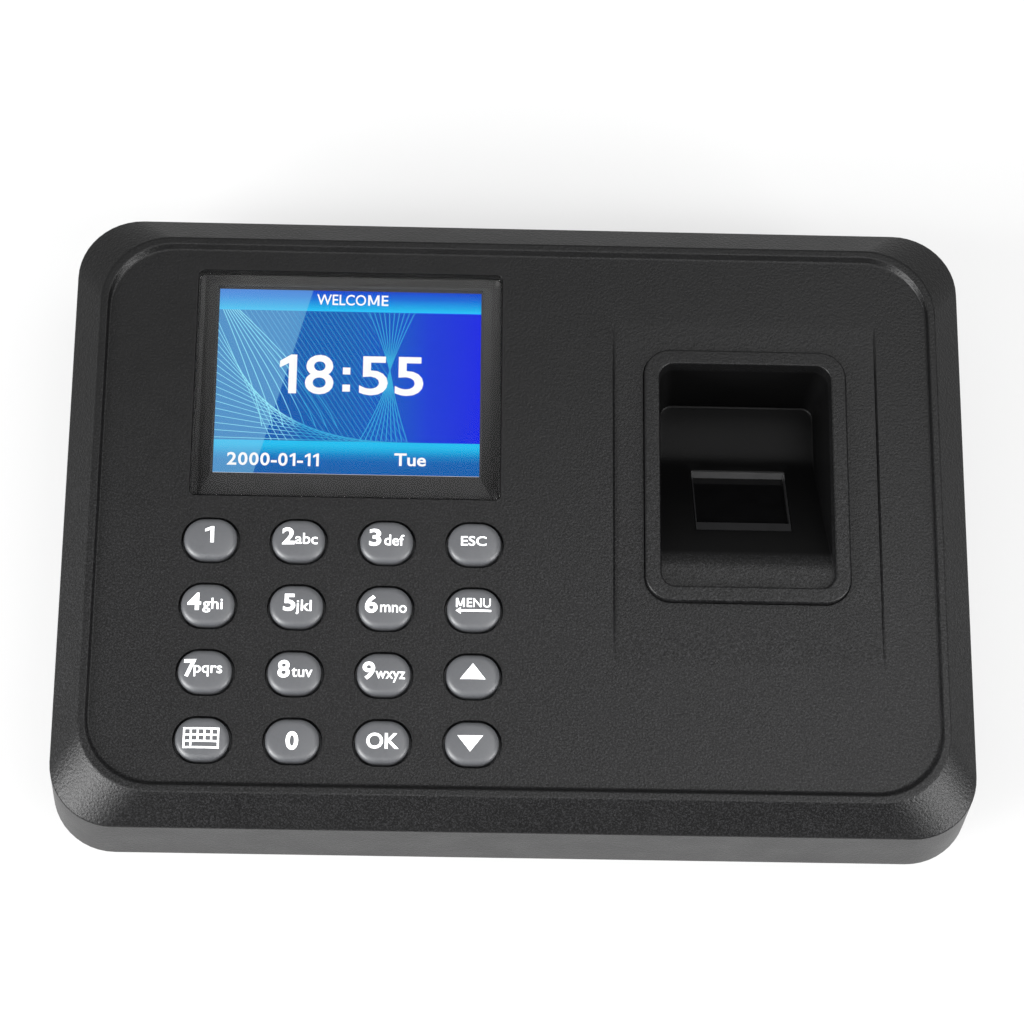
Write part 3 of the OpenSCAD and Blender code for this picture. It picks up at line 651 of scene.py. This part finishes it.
def well_rings(bm):
    """The well's wall and the fillet at its foot. Returns the rings from the ring's top edge to the floor."""
    top = well_outline(0)
    depth = RING_Z - WELL_Z
    bottom = well_outline(depth)
    count = len(top)
    edge_r = 0.35
    columns = []
    for i in range(count):
        high = Vector((*top[i], RING_Z))
        low = Vector((*bottom[i], WELL_Z))
        before, after = top[i - 1], top[(i + 1) % count]
        run = (after - before).normalized()
        inward = Vector((-run.y, run.x))
        near, far = 0.0, 1.0
        for _ in range(30):
            t = (near + far) / 2
            place = high.lerp(low, t)
            if place.z > floor_height(place.y):
                near = t
            else:
                far = t
        foot = high.lerp(low, near)
        up = (high - foot).normalized()
        step = 0.2
        slope = (floor_height(foot.y + step * inward.y) - floor_height(foot.y)) / step
        along = Vector((inward.x, inward.y, slope)).normalized()
        wall = (high - foot).length
        reach = min(0.5, 0.45 * wall)
        edge = min(edge_r, 0.45 * wall)
        out = Vector((-inward.x, -inward.y, 0))
        column = [curve_point(high + out * edge, high, high - up * edge, k / 5) for k in range(6)]
        column += [curve_point(foot + up * reach, foot, foot + along * reach, k / 6) for k in range(7)]
        column[-1].z = floor_height(column[-1].y)
        columns.append(column)
    rings = [[bm.verts.new(column[k]) for column in columns] for k in range(len(columns[0]))]
    join_rings(bm, rings)
    return rings


def curve_point(start, corner, end, t):
    return start.lerp(corner, t).lerp(corner.lerp(end, t), t)


def on_window(u, v, w):
    """A point in the sensor's sloping frame: across, down the slope, and out of the window."""
    y = v * math.cos(TILT) + w * math.sin(TILT)
    z = -v * math.sin(TILT) + w * math.cos(TILT)
    return WINDOW_AT + Vector((u, y, z))


def window_ring(bm, grow, w):
    r = 0.5
    outline = rounded_outline(WINDOW_W + 2 * grow, WINDOW_L + 2 * grow, r + grow, (0, 0), 4)
    return [bm.verts.new(on_window(u, v, w)) for u, v in outline]


def grid_points(half_w, low_y, high_y, columns, rows, keep):
    places = []
    for i in range(columns + 1):
        x = RING_AT.x - half_w + 2 * half_w * i / columns
        for k in range(rows + 1):
            y = low_y + (high_y - low_y) * k / rows
            if keep(x, y):
                places.append((x, y))
    return places


def off_window(x, y):
    margin = 0.8
    return (abs(x - WINDOW_AT.x) > WINDOW_W / 2 + margin
            or abs(y - WINDOW_AT.y) > WINDOW_L / 2 * math.cos(TILT) + margin)


def finger_guide():
    bm = bmesh.new()
    well = well_rings(bm)
    skin_z = CUP_T / math.cos(TILT)
    # The window through the sloping floor
    window = [window_ring(bm, grow, -drop) for grow, drop in edge_curve(0.3)]
    window.append(window_ring(bm, 0, -CUP_T))
    join_rings(bm, window)
    inside_w = RING_W / 2 - RING_BORDER - 3.2
    floor_low = RING_AT.y - RING_H / 2 + RING_BORDER + 1.6
    floor_high = RING_AT.y + RING_H / 2 - RING_BORDER - 3.4
    places = grid_points(inside_w, floor_low, floor_high, 8, 64, off_window)
    fill_between(bm, [well[-1], window[0]], places, lift=lambda x, y: (x, y, floor_height(y)))
    # The ring's flat border and its outer edge, down to the flange that holds it
    flange_low = PANEL_UNDER - 4
    flange_high = flange_low + 1.8
    edge = 0.4
    outer = [add_ring(bm, ring_outline(grow - edge), RING_Z - drop) for grow, drop in reversed_edge(edge)]
    fill_between(bm, [outer[0], well[0]])
    outer.append(add_ring(bm, ring_outline(0), flange_high))
    join_rings(bm, outer)
    screw_at = 24
    screw_r = 1.3
    cup_w, cup_h = 38, 50.8
    holes = [(RING_AT.x + x, RING_AT.y + y) for x in (-screw_at, screw_at) for y in (-screw_at, screw_at)]
    tops = [add_ring(bm, circle_outline(screw_r, at, 20), flange_high) for at in holes]
    lows = [add_ring(bm, circle_outline(screw_r, at, 20), flange_low) for at in holes]
    for top, low in zip(tops, lows):
        join_rings(bm, [top, low])
    flange = lambda z: add_ring(bm, rounded_outline(54, 60, 4, RING_AT.xy, 8), z)
    flange_rings = [flange(flange_high), flange(flange_low)]
    join_rings(bm, flange_rings)
    fill_between(bm, [flange_rings[0], outer[-1]] + tops)
    cup = lambda z: add_ring(bm, rounded_outline(cup_w, cup_h, 4.5, RING_AT.xy, 8), z)
    cup_rings = [cup(flange_low), cup(GUIDE_LOW.z)]
    join_rings(bm, cup_rings)
    fill_between(bm, [flange_rings[1], cup_rings[0]] + lows)
    # The hollow under the slope
    far_y = 19.6
    near_y = RING_AT.y - cup_h / 2 + CUP_T
    space = rounded_outline(34.4, far_y - near_y, 1.5, (RING_AT.x, (near_y + far_y) / 2), 4, (48, 8))
    under = lambda x, y: max(floor_height(y) - skin_z, GUIDE_LOW.z + 0.05)
    space_rings = [add_ring(bm, space, GUIDE_LOW.z), add_ring(bm, space, under)]
    join_rings(bm, space_rings)
    fill_between(bm, [cup_rings[1], space_rings[0]])
    places = grid_points(16, near_y + 1.6, far_y - 1.6, 6, 48, off_window)
    fill_between(bm, [space_rings[1], window[-1]], places, lift=lambda x, y: (x, y, under(x, y)))
    return make_piece("finger_guide_shell", bm, guide_plastic, ["finger_guide"])


def reversed_edge(radius, steps=5):
    """A quarter round from a flat top, down over the outer edge: pairs of (outward growth, drop)."""
    angles = [math.pi / 2 * i / steps for i in range(steps + 1)]
    return [(radius * math.sin(a), radius * (1 - math.cos(a))) for a in angles]


# ---- Display window ----

def rounded_slab(bm, outline, low_z, high_z, radius):
    """A closed slab with rounded edges; outline gives its outline for an outward growth."""
    curve = reversed_edge(radius, 3)
    top = [add_ring(bm, outline(grow - radius), high_z - drop) for grow, drop in curve]
    low = [add_ring(bm, outline(grow - radius), low_z + drop) for grow, drop in reversed(curve)]
    join_rings(bm, top + low)
    fill_between(bm, [top[0]])
    fill_between(bm, [low[-1]])


def display_lens():
    bm = bmesh.new()
    rounded_slab(bm, lambda grow: lens_outline(grow, 1.2 + grow), LENS_LOW.z, LENS_HIGH.z, 0.05)
    return make_piece("display_lens_glass", bm, lens_glass, ["display_lens"])


# ---- Keys ----

def key_top(x, y, top_z):
    """Height of a key's dome, at a place measured from its middle."""
    return top_z - INK - (x * x + y * y) / (2 * KEY_DOME_R)


def key_cap(name):
    """A key: its domed cap with a rounded edge, its flange and its plunger."""
    low, high = box_mm("key_" + name)
    at = middle("key_" + name).xy
    bm = bmesh.new()
    flange_low = PANEL_UNDER - 1.1
    flange_high = PANEL_UNDER - 0.1
    edge = 1.1
    edge_drop = 0.75
    plunger_r = 2
    plunger = [add_ring(bm, circle_outline(plunger_r, at, 52), z) for z in (low.z, flange_low)]
    flange = lambda z: add_ring(bm, rounded_outline(KEY_W + 2.4, KEY_H + 2.2, 5, at), z)
    wall_low = add_ring(bm, key_outline(0, at), flange_high)
    flange_rings = [flange(flange_low), flange(flange_high)]
    join_rings(bm, plunger)
    join_rings(bm, flange_rings)
    fill_between(bm, [plunger[0]])
    fill_between(bm, [flange_rings[0], plunger[1]])
    fill_between(bm, [flange_rings[1], wall_low])
    cap = [wall_low]
    for i in range(8):
        angle = math.pi / 2 * i / 7
        inset = edge * (1 - math.cos(angle))
        drop = edge_drop * (1 - math.sin(angle))
        cap.append(add_ring(bm, key_outline(-inset, at),
                            lambda x, y: key_top(x - at.x, y - at.y, high.z) - drop))
    for inset in (1.5, 2.0, 2.6, 3.2, 3.8):
        cap.append(add_ring(bm, key_outline(-inset, at), lambda x, y: key_top(x - at.x, y - at.y, high.z)))
    join_rings(bm, cap)
    fill_between(bm, [cap[-1]])
    return make_piece("key_cap_" + name, bm, key_plastic, ["key_" + name], "key_" + name + "_body")


# ---- Lettering on the keys: digits, the usual letter groups, plain words and symbols ----

FONT_CAP = 0.688


def text_outline_mesh(words, size, bold):
    """A flat mesh of words, in millimetres, with its lower left corner near the origin."""
    curve = bpy.data.curves.new("words", "FONT")
    curve.body = words
    curve.size = size
    curve.offset = bold
    curve.resolution_u = 4
    carrier = bpy.data.objects.new("words", curve)
    bpy.context.scene.collection.objects.link(carrier)
    bpy.context.view_layer.update()
    mesh = bpy.data.meshes.new_from_object(carrier)
    bm = bmesh.new()
    bm.from_mesh(mesh)
    bpy.data.objects.remove(carrier)
    bpy.data.curves.remove(curve)
    bpy.data.meshes.remove(mesh)
    bmesh.ops.remove_doubles(bm, verts=bm.verts, dist=size * 1e-4)
    return bm


def extent(bm):
    xs = [v.co.x for v in bm.verts]
    ys = [v.co.y for v in bm.verts]
    return min(xs), max(xs), min(ys), max(ys)


def shape_polygon(bm, points):
    bm.faces.new([bm.verts.new((x, y, 0)) for x, y in points]).normal_update()


def block_outline(x0, y0, x1, y1):
    return [(x0, y0), (x1, y0), (x1, y1), (x0, y1)]


def split_long_edges(bm, limit):
    for _ in range(6):
        long_edges = [e for e in bm.edges if e.calc_length() > limit]
        if not long_edges:
            return
        bmesh.ops.subdivide_edges(bm, edges=long_edges, cuts=1)
        bmesh.ops.triangulate(bm, faces=[f for f in bm.faces if len(f.verts) > 3])


def join_flat(target, source, dx=0, dy=0):
    """Adds one flat mesh to another, moved."""
    bmesh.ops.translate(source, vec=(dx, dy, 0), verts=source.verts)
    mesh = bpy.data.meshes.new("part")
    source.to_mesh(mesh)
    source.free()
    target.from_mesh(mesh)
    bpy.data.meshes.remove(mesh)


def words_at(target, words, x0, x1, base, cap, bold):
    """Writes words from x0 to x1 on a baseline, with capitals of the given height."""
    size = cap / (FONT_CAP + 2 * bold)
    bm = text_outline_mesh(words, size, bold * size)
    low, high, _, _ = extent(bm)
    for v in bm.verts:
        v.co.x = (v.co.x - low) * (x1 - x0) / (high - low)
    join_flat(target, bm, x0, base + bold * size)


def one_at(target, x0, x1, base, cap, stem=0.2):
    """A digit one: an upright stem with a sloping flag."""
    stem_x = x1 - stem * cap
    shape_polygon(target, [(stem_x, base), (x1, base), (x1, base + cap), (x1 - 0.75 * stem * cap, base + cap),
                           (x0, base + 0.83 * cap), (x0, base + 0.66 * cap), (stem_x, base + 0.78 * cap)])


def digits_at(target, digits, x0, x1, base, cap, bold, fill):
    """Writes digits, hyphens and colons in cells from x0 to x1.
    fill is the part of its cell that a digit fills."""
    cells = {"1": 0.75, "-": 0.62, ":": 0.52}
    widths = [cells.get(digit, 1) for digit in digits]
    unit = (x1 - x0) / sum(widths)
    left = x0
    for digit, width in zip(digits, widths):
        middle_x = left + unit * width / 2
        half = unit * width * fill / 2
        if digit == "1":
            one_at(target, middle_x - half * 0.8, middle_x + half * 0.8, base, cap, 0.19)
        elif digit == ":":
            dot = 0.09 * cap
            for rise in (0.16, 0.6):
                shape_polygon(target, block_outline(middle_x - dot, base + rise * cap - dot,
                                                    middle_x + dot, base + rise * cap + dot))
        else:
            words_at(target, digit, middle_x - half, middle_x + half, base, cap, bold)
        left += unit * width


def m_at(target, x0, x1, base, cap, stem):
    """A capital M: two stems and two strokes that meet between them."""
    top = base + cap
    mid = (x0 + x1) / 2
    foot = base + 0.12 * cap
    shape_polygon(target, block_outline(x0, base, x0 + stem, top))
    shape_polygon(target, block_outline(x1 - stem, base, x1, top))
    for side, edge in ((1, x0), (-1, x1)):
        stroke = [(edge, top), (mid - side * stem * 0.55, foot), (mid + side * stem * 0.2, foot),
                  (edge + side * stem * 1.2, top)]
        shape_polygon(target, stroke if side > 0 else stroke[::-1])


def arrow(bm, half_w, low_y, high_y, x=0):
    shape_polygon(bm, [(x - half_w, low_y), (x + half_w, low_y), (x, high_y)])


def keyboard_icon(bm):
    """A small keyboard: a plate with two rows of five openings, and a short and a long one under them."""
    x0, y0, w, h, line = -3.6, -2.0, 6.9, 4.1, 0.36
    pitch_x = (w - line) / 5
    pitch_y = (h - line) / 3
    for row in range(4):
        y = y0 + row * pitch_y
        shape_polygon(bm, block_outline(x0, y, x0 + w, y + line))
    for row, columns in enumerate(((0, 1, 5), range(6), range(6))):
        y = y0 + row * pitch_y + line
        for column in columns:
            x = x0 + column * pitch_x
            shape_polygon(bm, block_outline(x, y, x + line, y + pitch_y - line))


def thicken(bm):
    """Turns a flat mesh into a closed one that still has no height, and returns its upper vertices."""
    lower = bm.faces[:]
    copied = bmesh.ops.duplicate(bm, geom=bm.faces[:])
    twin = copied["vert_map"]
    rim = [e for e in bm.edges if len(e.link_faces) == 1 and e.link_faces[0] in lower]
    for edge in rim:
        a, b = edge.verts
        bm.faces.new((a, b, twin[b], twin[a]))
    return {v for v in copied["geom"] if isinstance(v, bmesh.types.BMVert)}


# Each key's digit from x0 to x1 on its base line, then its letters with the same three places
LEGENDS = {
    "2": (-3.3, -0.8, -1.0, "abc", -0.65, 3.75, -0.85),
    "3": (-3.5, -1.1, -0.95, "def", -0.45, 3.45, -0.85),
    "4": (-4.0, -1.3, -1.3, "ghi", -0.95, 2.95, -1.05),
    "5": (-2.65, -0.25, -1.15, "jkl", -0.15, 2.95, -1.1),
    "6": (-4.0, -1.5, -1.2, "mno", -0.95, 4.2, -1.1),
    "7": (-4.1, -1.7, -1.25, "pqrs", -2.1, 3.35, -0.5),
    "8": (-3.3, -0.9, -1.15, "tuv", -0.5, 3.5, -1.0),
    "9": (-4.15, -1.7, -1.15, "wxyz", -1.55, 4.15, -1.05),
}


def legend_shapes(name):
    """The flat legend of a key, centred on the key."""
    bm = bmesh.new()
    if name in LEGENDS:
        x0, x1, base, letters, letters_x0, letters_x1, letters_base = LEGENDS[name]
        words_at(bm, name, x0 + 0.1, x1 + 0.05, base, 3.5, 0.026)
        words_at(bm, letters, letters_x0, letters_x1, letters_base, 2.25, 0.009)
    elif name == "1":
        one_at(bm, -1.05, 0.7, -0.9, 3.35)
    elif name == "0":
        words_at(bm, name, -1.2, 1.2, -2.0, 3.6, 0.032)
    elif name == "ok":
        words_at(bm, "OK", -3.0, 3.2, -1.5, 3.1, 0.018)
    elif name == "esc":
        words_at(bm, "ESC", -2.65, 2.35, -0.6, 1.95, 0.011)
    elif name == "menu":
        m_at(bm, -3.45, -1.75, 0.25, 1.85, 0.33)
        words_at(bm, "ENU", -1.35, 3.3, 0.25, 1.85, 0.008)
        arrow_y, head, shaft = -0.45, 0.7, 0.2
        shape_polygon(bm, [(-3.5, arrow_y), (-2.5, arrow_y - head), (-2.5, arrow_y + head)])
        shape_polygon(bm, block_outline(-2.5, arrow_y - shaft, 3.4, arrow_y + shaft))
    elif name == "up":
        arrow(bm, 2.45, -0.85, 2.35)
    elif name == "down":
        arrow(bm, 2.45, 1.4, -1.8, -0.35)
    else:
        keyboard_icon(bm)
    return bm


def key_legend(name):
    """The legend printed on a key's dome: a thin raised layer of ink."""
    at = middle("key_" + name).xy
    top_z = box_mm("key_" + name)[1].z
    bm = legend_shapes(name)
    bmesh.ops.triangulate(bm, faces=bm.faces)
    split_long_edges(bm, 0.8)
    upper = thicken(bm)
    for v in bm.verts:
        height = key_top(v.co.x, v.co.y, top_z) + (INK if v in upper else -INK)
        v.co = Vector((v.co.x + at.x, v.co.y + at.y, height))
    return make_piece("key_legend_" + name, bm, legend_ink, (), "key_" + name + "_body")


# ---- The picture on the display ----

SCREEN_LIGHT = 1.02
MIRRORED = 0.02

def colour_ramp(tree, factor, stops):
    made = add_node(tree, "ShaderNodeValToRGB", Fac=factor)
    ramp = made.color_ramp
    while len(ramp.elements) < len(stops):
        ramp.elements.new(0.5)
    for element, (position, colour) in zip(ramp.elements, stops):
        element.position = position
        element.color = colour
    return made.outputs["Color"]


def shown(r, g, b):
    """A screen colour given as 0 to 255, less the light that the window in front of it mirrors."""
    return tuple(max(0, c - MIRRORED) for c in srgb(r, g, b)[:3]) + (1,)


def picture_material():
    """A clock's background: blue that deepens to the right and two bright bars, under a painted reflection: a
    pale wedge at the left with a slanted edge.
    """
    material, tree, shader, place = start_material("screen_picture")
    split = add_node(tree, "ShaderNodeSeparateXYZ", Vector=place)
    half_w, half_h = SCREEN_W / 2, SCREEN_H / 2
    across = remap(tree, split.outputs["X"], 0, 1, (SCREEN_AT.x - half_w) * MM, (SCREEN_AT.x + half_w) * MM)
    up = remap(tree, split.outputs["Y"], 0, 1, (SCREEN_AT.y - half_h) * MM, (SCREEN_AT.y + half_h) * MM)
    ground = colour_ramp(tree, across, ((0, shown(33, 95, 174)), (0.5, shown(32, 98, 182)),
                                        (0.68, shown(34, 92, 198)), (0.8, shown(36, 68, 214)),
                                        (1, shown(40, 50, 228))))
    bars = colour_ramp(tree, up, ((0, shown(30, 98, 172)), (0.07, shown(32, 104, 180)),
                                  (0.1, shown(37, 130, 198)),
                                  (0.125, shown(41, 163, 220)), (0.15, shown(45, 187, 236)),
                                  (BAR_LOW, shown(46, 194, 242)), (BAR_HIGH, shown(52, 198, 250)),
                                  (0.905, shown(42, 178, 236)), (0.93, shown(40, 150, 228)),
                                  (0.96, shown(38, 110, 216)), (1, shown(38, 72, 204))))
    edge = 0.0015
    in_low = remap(tree, up, 1, 0, BAR_LOW - edge, BAR_LOW + edge)
    in_high = remap(tree, up, 0, 1, BAR_HIGH - edge, BAR_HIGH + edge)
    in_bar = add_node(tree, "ShaderNodeMath", {"operation": "MAXIMUM"})
    tree.links.new(in_low, in_bar.inputs[0])
    tree.links.new(in_high, in_bar.inputs[1])
    picture = blend_colours(tree, in_bar.outputs[0], ground, bars)
    # Painted reflection: a pale wedge over the left of the picture stands in for light that the window
    # mirrors.
    lean = add_node(tree, "ShaderNodeMath", {"operation": "MULTIPLY_ADD"})
    tree.links.new(up, lean.inputs[0])
    lean.inputs[1].default_value = REFLECTION_LEAN
    tree.links.new(across, lean.inputs[2])
    painted_reflection = remap(tree, lean.outputs[0], 0.36, 0, REFLECTION_EDGE - edge, REFLECTION_EDGE + edge)
    seen = blend_colours(tree, painted_reflection, picture, srgb(130, 204, 236))
    tree.links.new(seen, shader.inputs["Emission Color"])
    return as_picture(material, shader)


def as_picture(material, shader):
    """Makes a material give its own light and reflect none, as a lit display behind its window does."""
    shader.inputs["Emission Strength"].default_value = SCREEN_LIGHT
    shader.inputs["Base Color"].default_value = (0.002, 0.002, 0.002, 1)
    shader.inputs["Specular IOR Level"].default_value = 0
    return material


def glowing(name, colour, colour_under_reflection=None):
    """A lit colour, which may turn into a paler one towards the left: painted reflection, matching the pale
    wedge painted over the picture there.
    """
    material, tree, shader, place = start_material(name)
    across = add_node(tree, "ShaderNodeSeparateXYZ", Vector=place).outputs["X"]
    # Painted reflection: towards the left the lines take the paler colour they show under the painted
    # reflection.
    turn = remap(tree, across, 1, 0, (SCREEN_AT.x - 13) * MM, (SCREEN_AT.x - 9) * MM)
    shade = blend_colours(tree, turn, colour, colour_under_reflection or colour)
    uneven = remap(tree, noise(tree, place, 3, 2), 0.06, 0)
    tree.links.new(blend_colours(tree, uneven, shade, (0, 0, 0, 1)), shader.inputs["Emission Color"])
    return as_picture(material, shader)


def flat_piece(name, bm, z, thickness, material, at):
    """Gives a flat mesh a thickness, and moves it to its place."""
    bmesh.ops.triangulate(bm, faces=bm.faces)
    bmesh.ops.translate(bm, vec=(0, 0, thickness), verts=list(thicken(bm)))
    bmesh.ops.translate(bm, vec=(at[0], at[1], z), verts=bm.verts)
    return make_piece(name, bm, material)


def ribbon(bm, start, end, width):
    """A thin straight line as a flat strip."""
    run = (end - start).normalized()
    side = Vector((-run.y, run.x)) * width / 2
    shape_polygon(bm, [start - side, end - side, end + side, start + side])


def line_pattern():
    """Fine lines between the bars: a fan drawn in to a waist, families over the left half, and a
    faint family behind them."""
    bm = bmesh.new()
    faint = bmesh.new()
    low = (BAR_LOW - 0.5) * SCREEN_H
    high = (BAR_HIGH - 0.5) * SCREEN_H
    left = -SCREEN_W / 2
    waist = Vector((8.2, 0.3))
    count = 10
    fan_left = 3.8
    for i in range(count):
        t = i / (count - 1)
        pinch = waist + Vector((0.5 - t, 0))
        bent_line(bm, Vector((fan_left + 9.2 * t, high)), pinch, 0.16)
        bent_line(bm, Vector((12 - 9.6 * t, low)), pinch, 0.16)
    count = 25
    run = Vector((18, low - high))
    fan_run = (waist.x - fan_left) / (high - waist.y) * (high - low)
    for i in range(count):
        start = Vector((left + 4 + (fan_left - left - 4.5) * i / (count - 1), high))
        part = min(1, (fan_left - start.x) / (run.x - fan_run))
        ribbon(faint, start, start + run * part, 0.1)
    count = 8
    for i in range(count):
        t = i / (count - 1)
        bent_line(bm, Vector((left + 0.8 + 3.2 * t, high)), Vector((-17 + 15 * t, low + 3)), 0.15)
    count = 17
    for i in range(count):
        t = i / (count - 1)
        start = Vector((left, high - 3 - (high - low - 3.5) * t))
        ribbon(bm, start, Vector((-15 + 25 * t, low)), 0.11)
    return bm, faint


def bent_line(bm, start, end, width):
    """A fine line that leans in towards its end, in short straight strips."""
    steps = 8
    places = []
    for i in range(steps + 1):
        t = i / steps
        places.append(Vector((end.x + (start.x - end.x) * (1 - t) ** 1.25, start.y + (end.y - start.y) * t)))
    for a, b in zip(places, places[1:]):
        ribbon(bm, a, b, width)


def screen():
    """The lit picture: its ground, the fine lines, and the clock's words and figures in front."""
    glass_high = box_mm("lcd_glass")[1].z
    half_w, half_h = SCREEN_W / 2, SCREEN_H / 2
    bm = bmesh.new()
    shape_polygon(bm, block_outline(-half_w, -half_h, half_w, half_h))
    flat_piece("screen_picture", bm, glass_high, 0.02, picture_material(), SCREEN_AT)
    lines, faint_lines = line_pattern()
    cyan = glowing("screen_lines", srgb(50, 172, 220), srgb(150, 232, 250))
    flat_piece("screen_lines", lines, glass_high + 0.034, 0.01, cyan, SCREEN_AT)
    pale = glowing("screen_faint_lines", srgb(46, 162, 214), srgb(116, 188, 226))
    flat_piece("screen_faint_lines", faint_lines, glass_high + 0.022, 0.01, pale, SCREEN_AT)
    words = bmesh.new()
    words_at(words, "WELCO", -6.8, 3.1, 16.7, 2.3, 0.008)
    m_at(words, 3.5, 5.8, 16.7, 2.3, 0.4)
    words_at(words, "E", 6.25, 7.6, 16.7, 2.3, 0.012)
    digits_at(words, "18:55", -14.8, 15.7, -2.7, 8.4, 0.014, 0.8)
    digits_at(words, "2000-01-11", -23.8, -5.2, -18.2, 2.7, 0.02, 0.86)
    words_at(words, "Tue", 9.5, 15.8, -17.8, 2.7, 0.02)
    shape_polygon(words, block_outline(-half_w, -half_h - 0.4, half_w, -half_h))
    white = glowing("screen_white", (1, 1, 1, 1))
    flat_piece("screen_words", words, glass_high + 0.05, 0.01, white, SCREEN_AT)


# ---- CAD nodes that keep their shape ----

def finish_node(name, material, bevel=0.0):
    """Gives a CAD node its material and, where it shows, rounded edges."""
    piece = frame["nodes"][name]
    piece.data.materials.clear()
    piece.data.materials.append(material)
    if bevel:
        merge = piece.modifiers.new("flat_faces", "DECIMATE")
        merge.decimate_type = "DISSOLVE"
        merge.angle_limit = math.radians(1)
        rounding = piece.modifiers.new("edges", "BEVEL")
        rounding.width = bevel * MM
        rounding.segments = 3
        rounding.limit_method = "ANGLE"
        rounding.angle_limit = math.radians(40)
        rounding.harden_normals = False
        weight_normals(piece)


def carried_over():
    finish_node("back_cover", back_plastic, 0.35)
    finish_node("rubber_feet", rubber, 0.5)
    finish_node("case_screws", dark_steel, 0.25)
    finish_node("usb_port", steel, 0.15)
    finish_node("usb_tongue", white_plastic, 0.15)
    finish_node("dc_jack", black_plastic, 0.15)
    finish_node("dc_pin", steel, 0.3)
    finish_node("lens_tape", border_ink())
    finish_node("lcd_glass", chip_black)
    finish_node("lcd_backlight", white_plastic)
    finish_node("lcd_holder", steel)
    finish_node("lcd_flex", amber_flex)
    finish_node("sensor_bezel", bezel_material(), 0.12)
    finish_node("sensor_glass", sensor_window)
    finish_node("sensor_prism", prism_glass)
    finish_node("sensor_housing", black_plastic)
    finish_node("sensor_lens", prism_glass)
    finish_node("sensor_cable", grey_ribbon)
    finish_node("keypad_mat", silicone)
    finish_node("key_contacts", gold)
    finish_node("keypad_ribbon", grey_ribbon)
    finish_node("board_connectors", ivory)
    finish_node("capacitors", aluminium)
    finish_node("speaker", dark_steel)
    finish_node("speaker_wires", wire_jacket)
    finish_node("coin_cell", steel)
    finish_node("coin_holder", black_plastic)
    for name in ("sensor_led_board", "sensor_board", "key_board", "main_board"):
        finish_node(name, board_green)
    for name in ("processor_chip", "memory_chips"):
        finish_node(name, chip_black)
    for name in ("board_screws", "key_board_screws", "lcd_screws", "guide_screws", "sensor_screws"):
        finish_node(name, steel)


# ---- Floor, lights and camera ----
# Lights stand at places in metres, and have powers in watts

WORLD_LIGHT = 0.56
OVERHEAD = 0.95
FRONT_LIGHT = 0.08
FLOOR_GLOW = 0.6
AIM = (0, 0, 0.03)


def area_light(name, at, size, power):
    data = bpy.data.lights.new(name, "AREA")
    data.shape = "RECTANGLE"
    data.size, data.size_y = size
    data.energy = power
    light = bpy.data.objects.new(name, data)
    light.location = at
    light.rotation_euler = (Vector(AIM) - Vector(at)).to_track_quat("-Z", "Y").to_euler()
    bpy.context.scene.collection.objects.link(light)
    return light


def floor():
    """A plain pale floor, a hair below the feet."""
    bm = bmesh.new()
    shape_polygon(bm, block_outline(-4, -4, 4, 4))
    mesh = bpy.data.meshes.new("floor")
    bm.to_mesh(mesh)
    bm.free()
    material, tree, shader, place = start_material("floor")
    shade = blend_colours(tree, remap(tree, noise(tree, place, 400, 2), 0, 1), (0.17, 0.17, 0.17, 1),
                          (0.18, 0.18, 0.18, 1))
    tree.links.new(shade, shader.inputs["Base Color"])
    shader.inputs["Emission Color"].default_value = (1, 1, 1, 1)
    shader.inputs["Emission Strength"].default_value = FLOOR_GLOW
    shader.inputs["Roughness"].default_value = 0.9
    mesh.materials.append(material)
    piece = bpy.data.objects.new("floor", mesh)
    piece.location.z = -0.1 * MM
    bpy.context.scene.collection.objects.link(piece)


def world():
    """A white studio all round, a little dimmer overhead, and dark in front where the camera stands."""
    made = bpy.data.worlds.new("studio")
    made.use_nodes = True
    tree = made.node_tree
    background = tree.nodes["Background"]
    direction = add_node(tree, "ShaderNodeTexCoord").outputs["Generated"]
    sky = remap(tree, aligned(tree, direction, (0, 0, 1)), WORLD_LIGHT, OVERHEAD, 0.6, 0.85)
    front = aligned(tree, direction, (0, -0.85, 0.53))
    light = remap(tree, front, sky, FRONT_LIGHT, math.cos(math.radians(22)), math.cos(math.radians(13)))
    tree.links.new(light, background.inputs["Strength"])
    background.inputs["Color"].default_value = (1, 1, 1, 1)
    bpy.context.scene.world = made


def aligned(tree, direction, aim):
    """How closely a direction points towards an aim: 1 when it points straight at it."""
    made = add_node(tree, "ShaderNodeVectorMath", {"operation": "DOT_PRODUCT"})
    tree.links.new(direction, made.inputs[0])
    made.inputs[1].default_value = Vector(aim).normalized()
    return made.outputs["Value"]


def lights():
    """One softbox overhead to the right, one low at each side, and a long one above the camera."""
    area_light("overhead", (0.35, 0.12, 1.0), (0.5, 0.5), 3.4)
    area_light("left", (-0.85, -0.46, 0.45), (0.6, 0.45), 23)
    area_light("right", (0.85, -0.45, 0.41), (0.5, 0.35), 11)
    area_light("high_left", (-0.74, -0.37, 0.86), (0.2, 0.2), 3)
    area_light("high_right", (0.76, -0.37, 0.84), (0.2, 0.2), 3)
    area_light("front", (0, -0.45, 0.8), (1.2, 0.16), 3.2)


def camera():
    data = bpy.data.cameras.new("camera")
    data.lens = 112.5
    data.sensor_width = 36
    seat = bpy.data.objects.new("camera", data)
    seat.location = (-0.0178, -0.2149, 0.6275)
    turn = Matrix.Rotation(math.radians(-1.06), 3, "Z") @ Matrix.Rotation(math.radians(1.52), 3, "Y")
    turn = turn @ Matrix.Rotation(math.radians(-20), 3, "X")
    seat.rotation_euler = turn.transposed().to_euler()
    bpy.context.scene.collection.objects.link(seat)
    bpy.context.scene.camera = seat


camera()
world()
lights()
floor()
front_cover()
finger_guide()
display_lens()
for key in KEY_NAMES:
    key_cap(key)
    key_legend(key)
screen()
carried_over()
bpy.context.scene.view_settings.view_transform = "Standard"
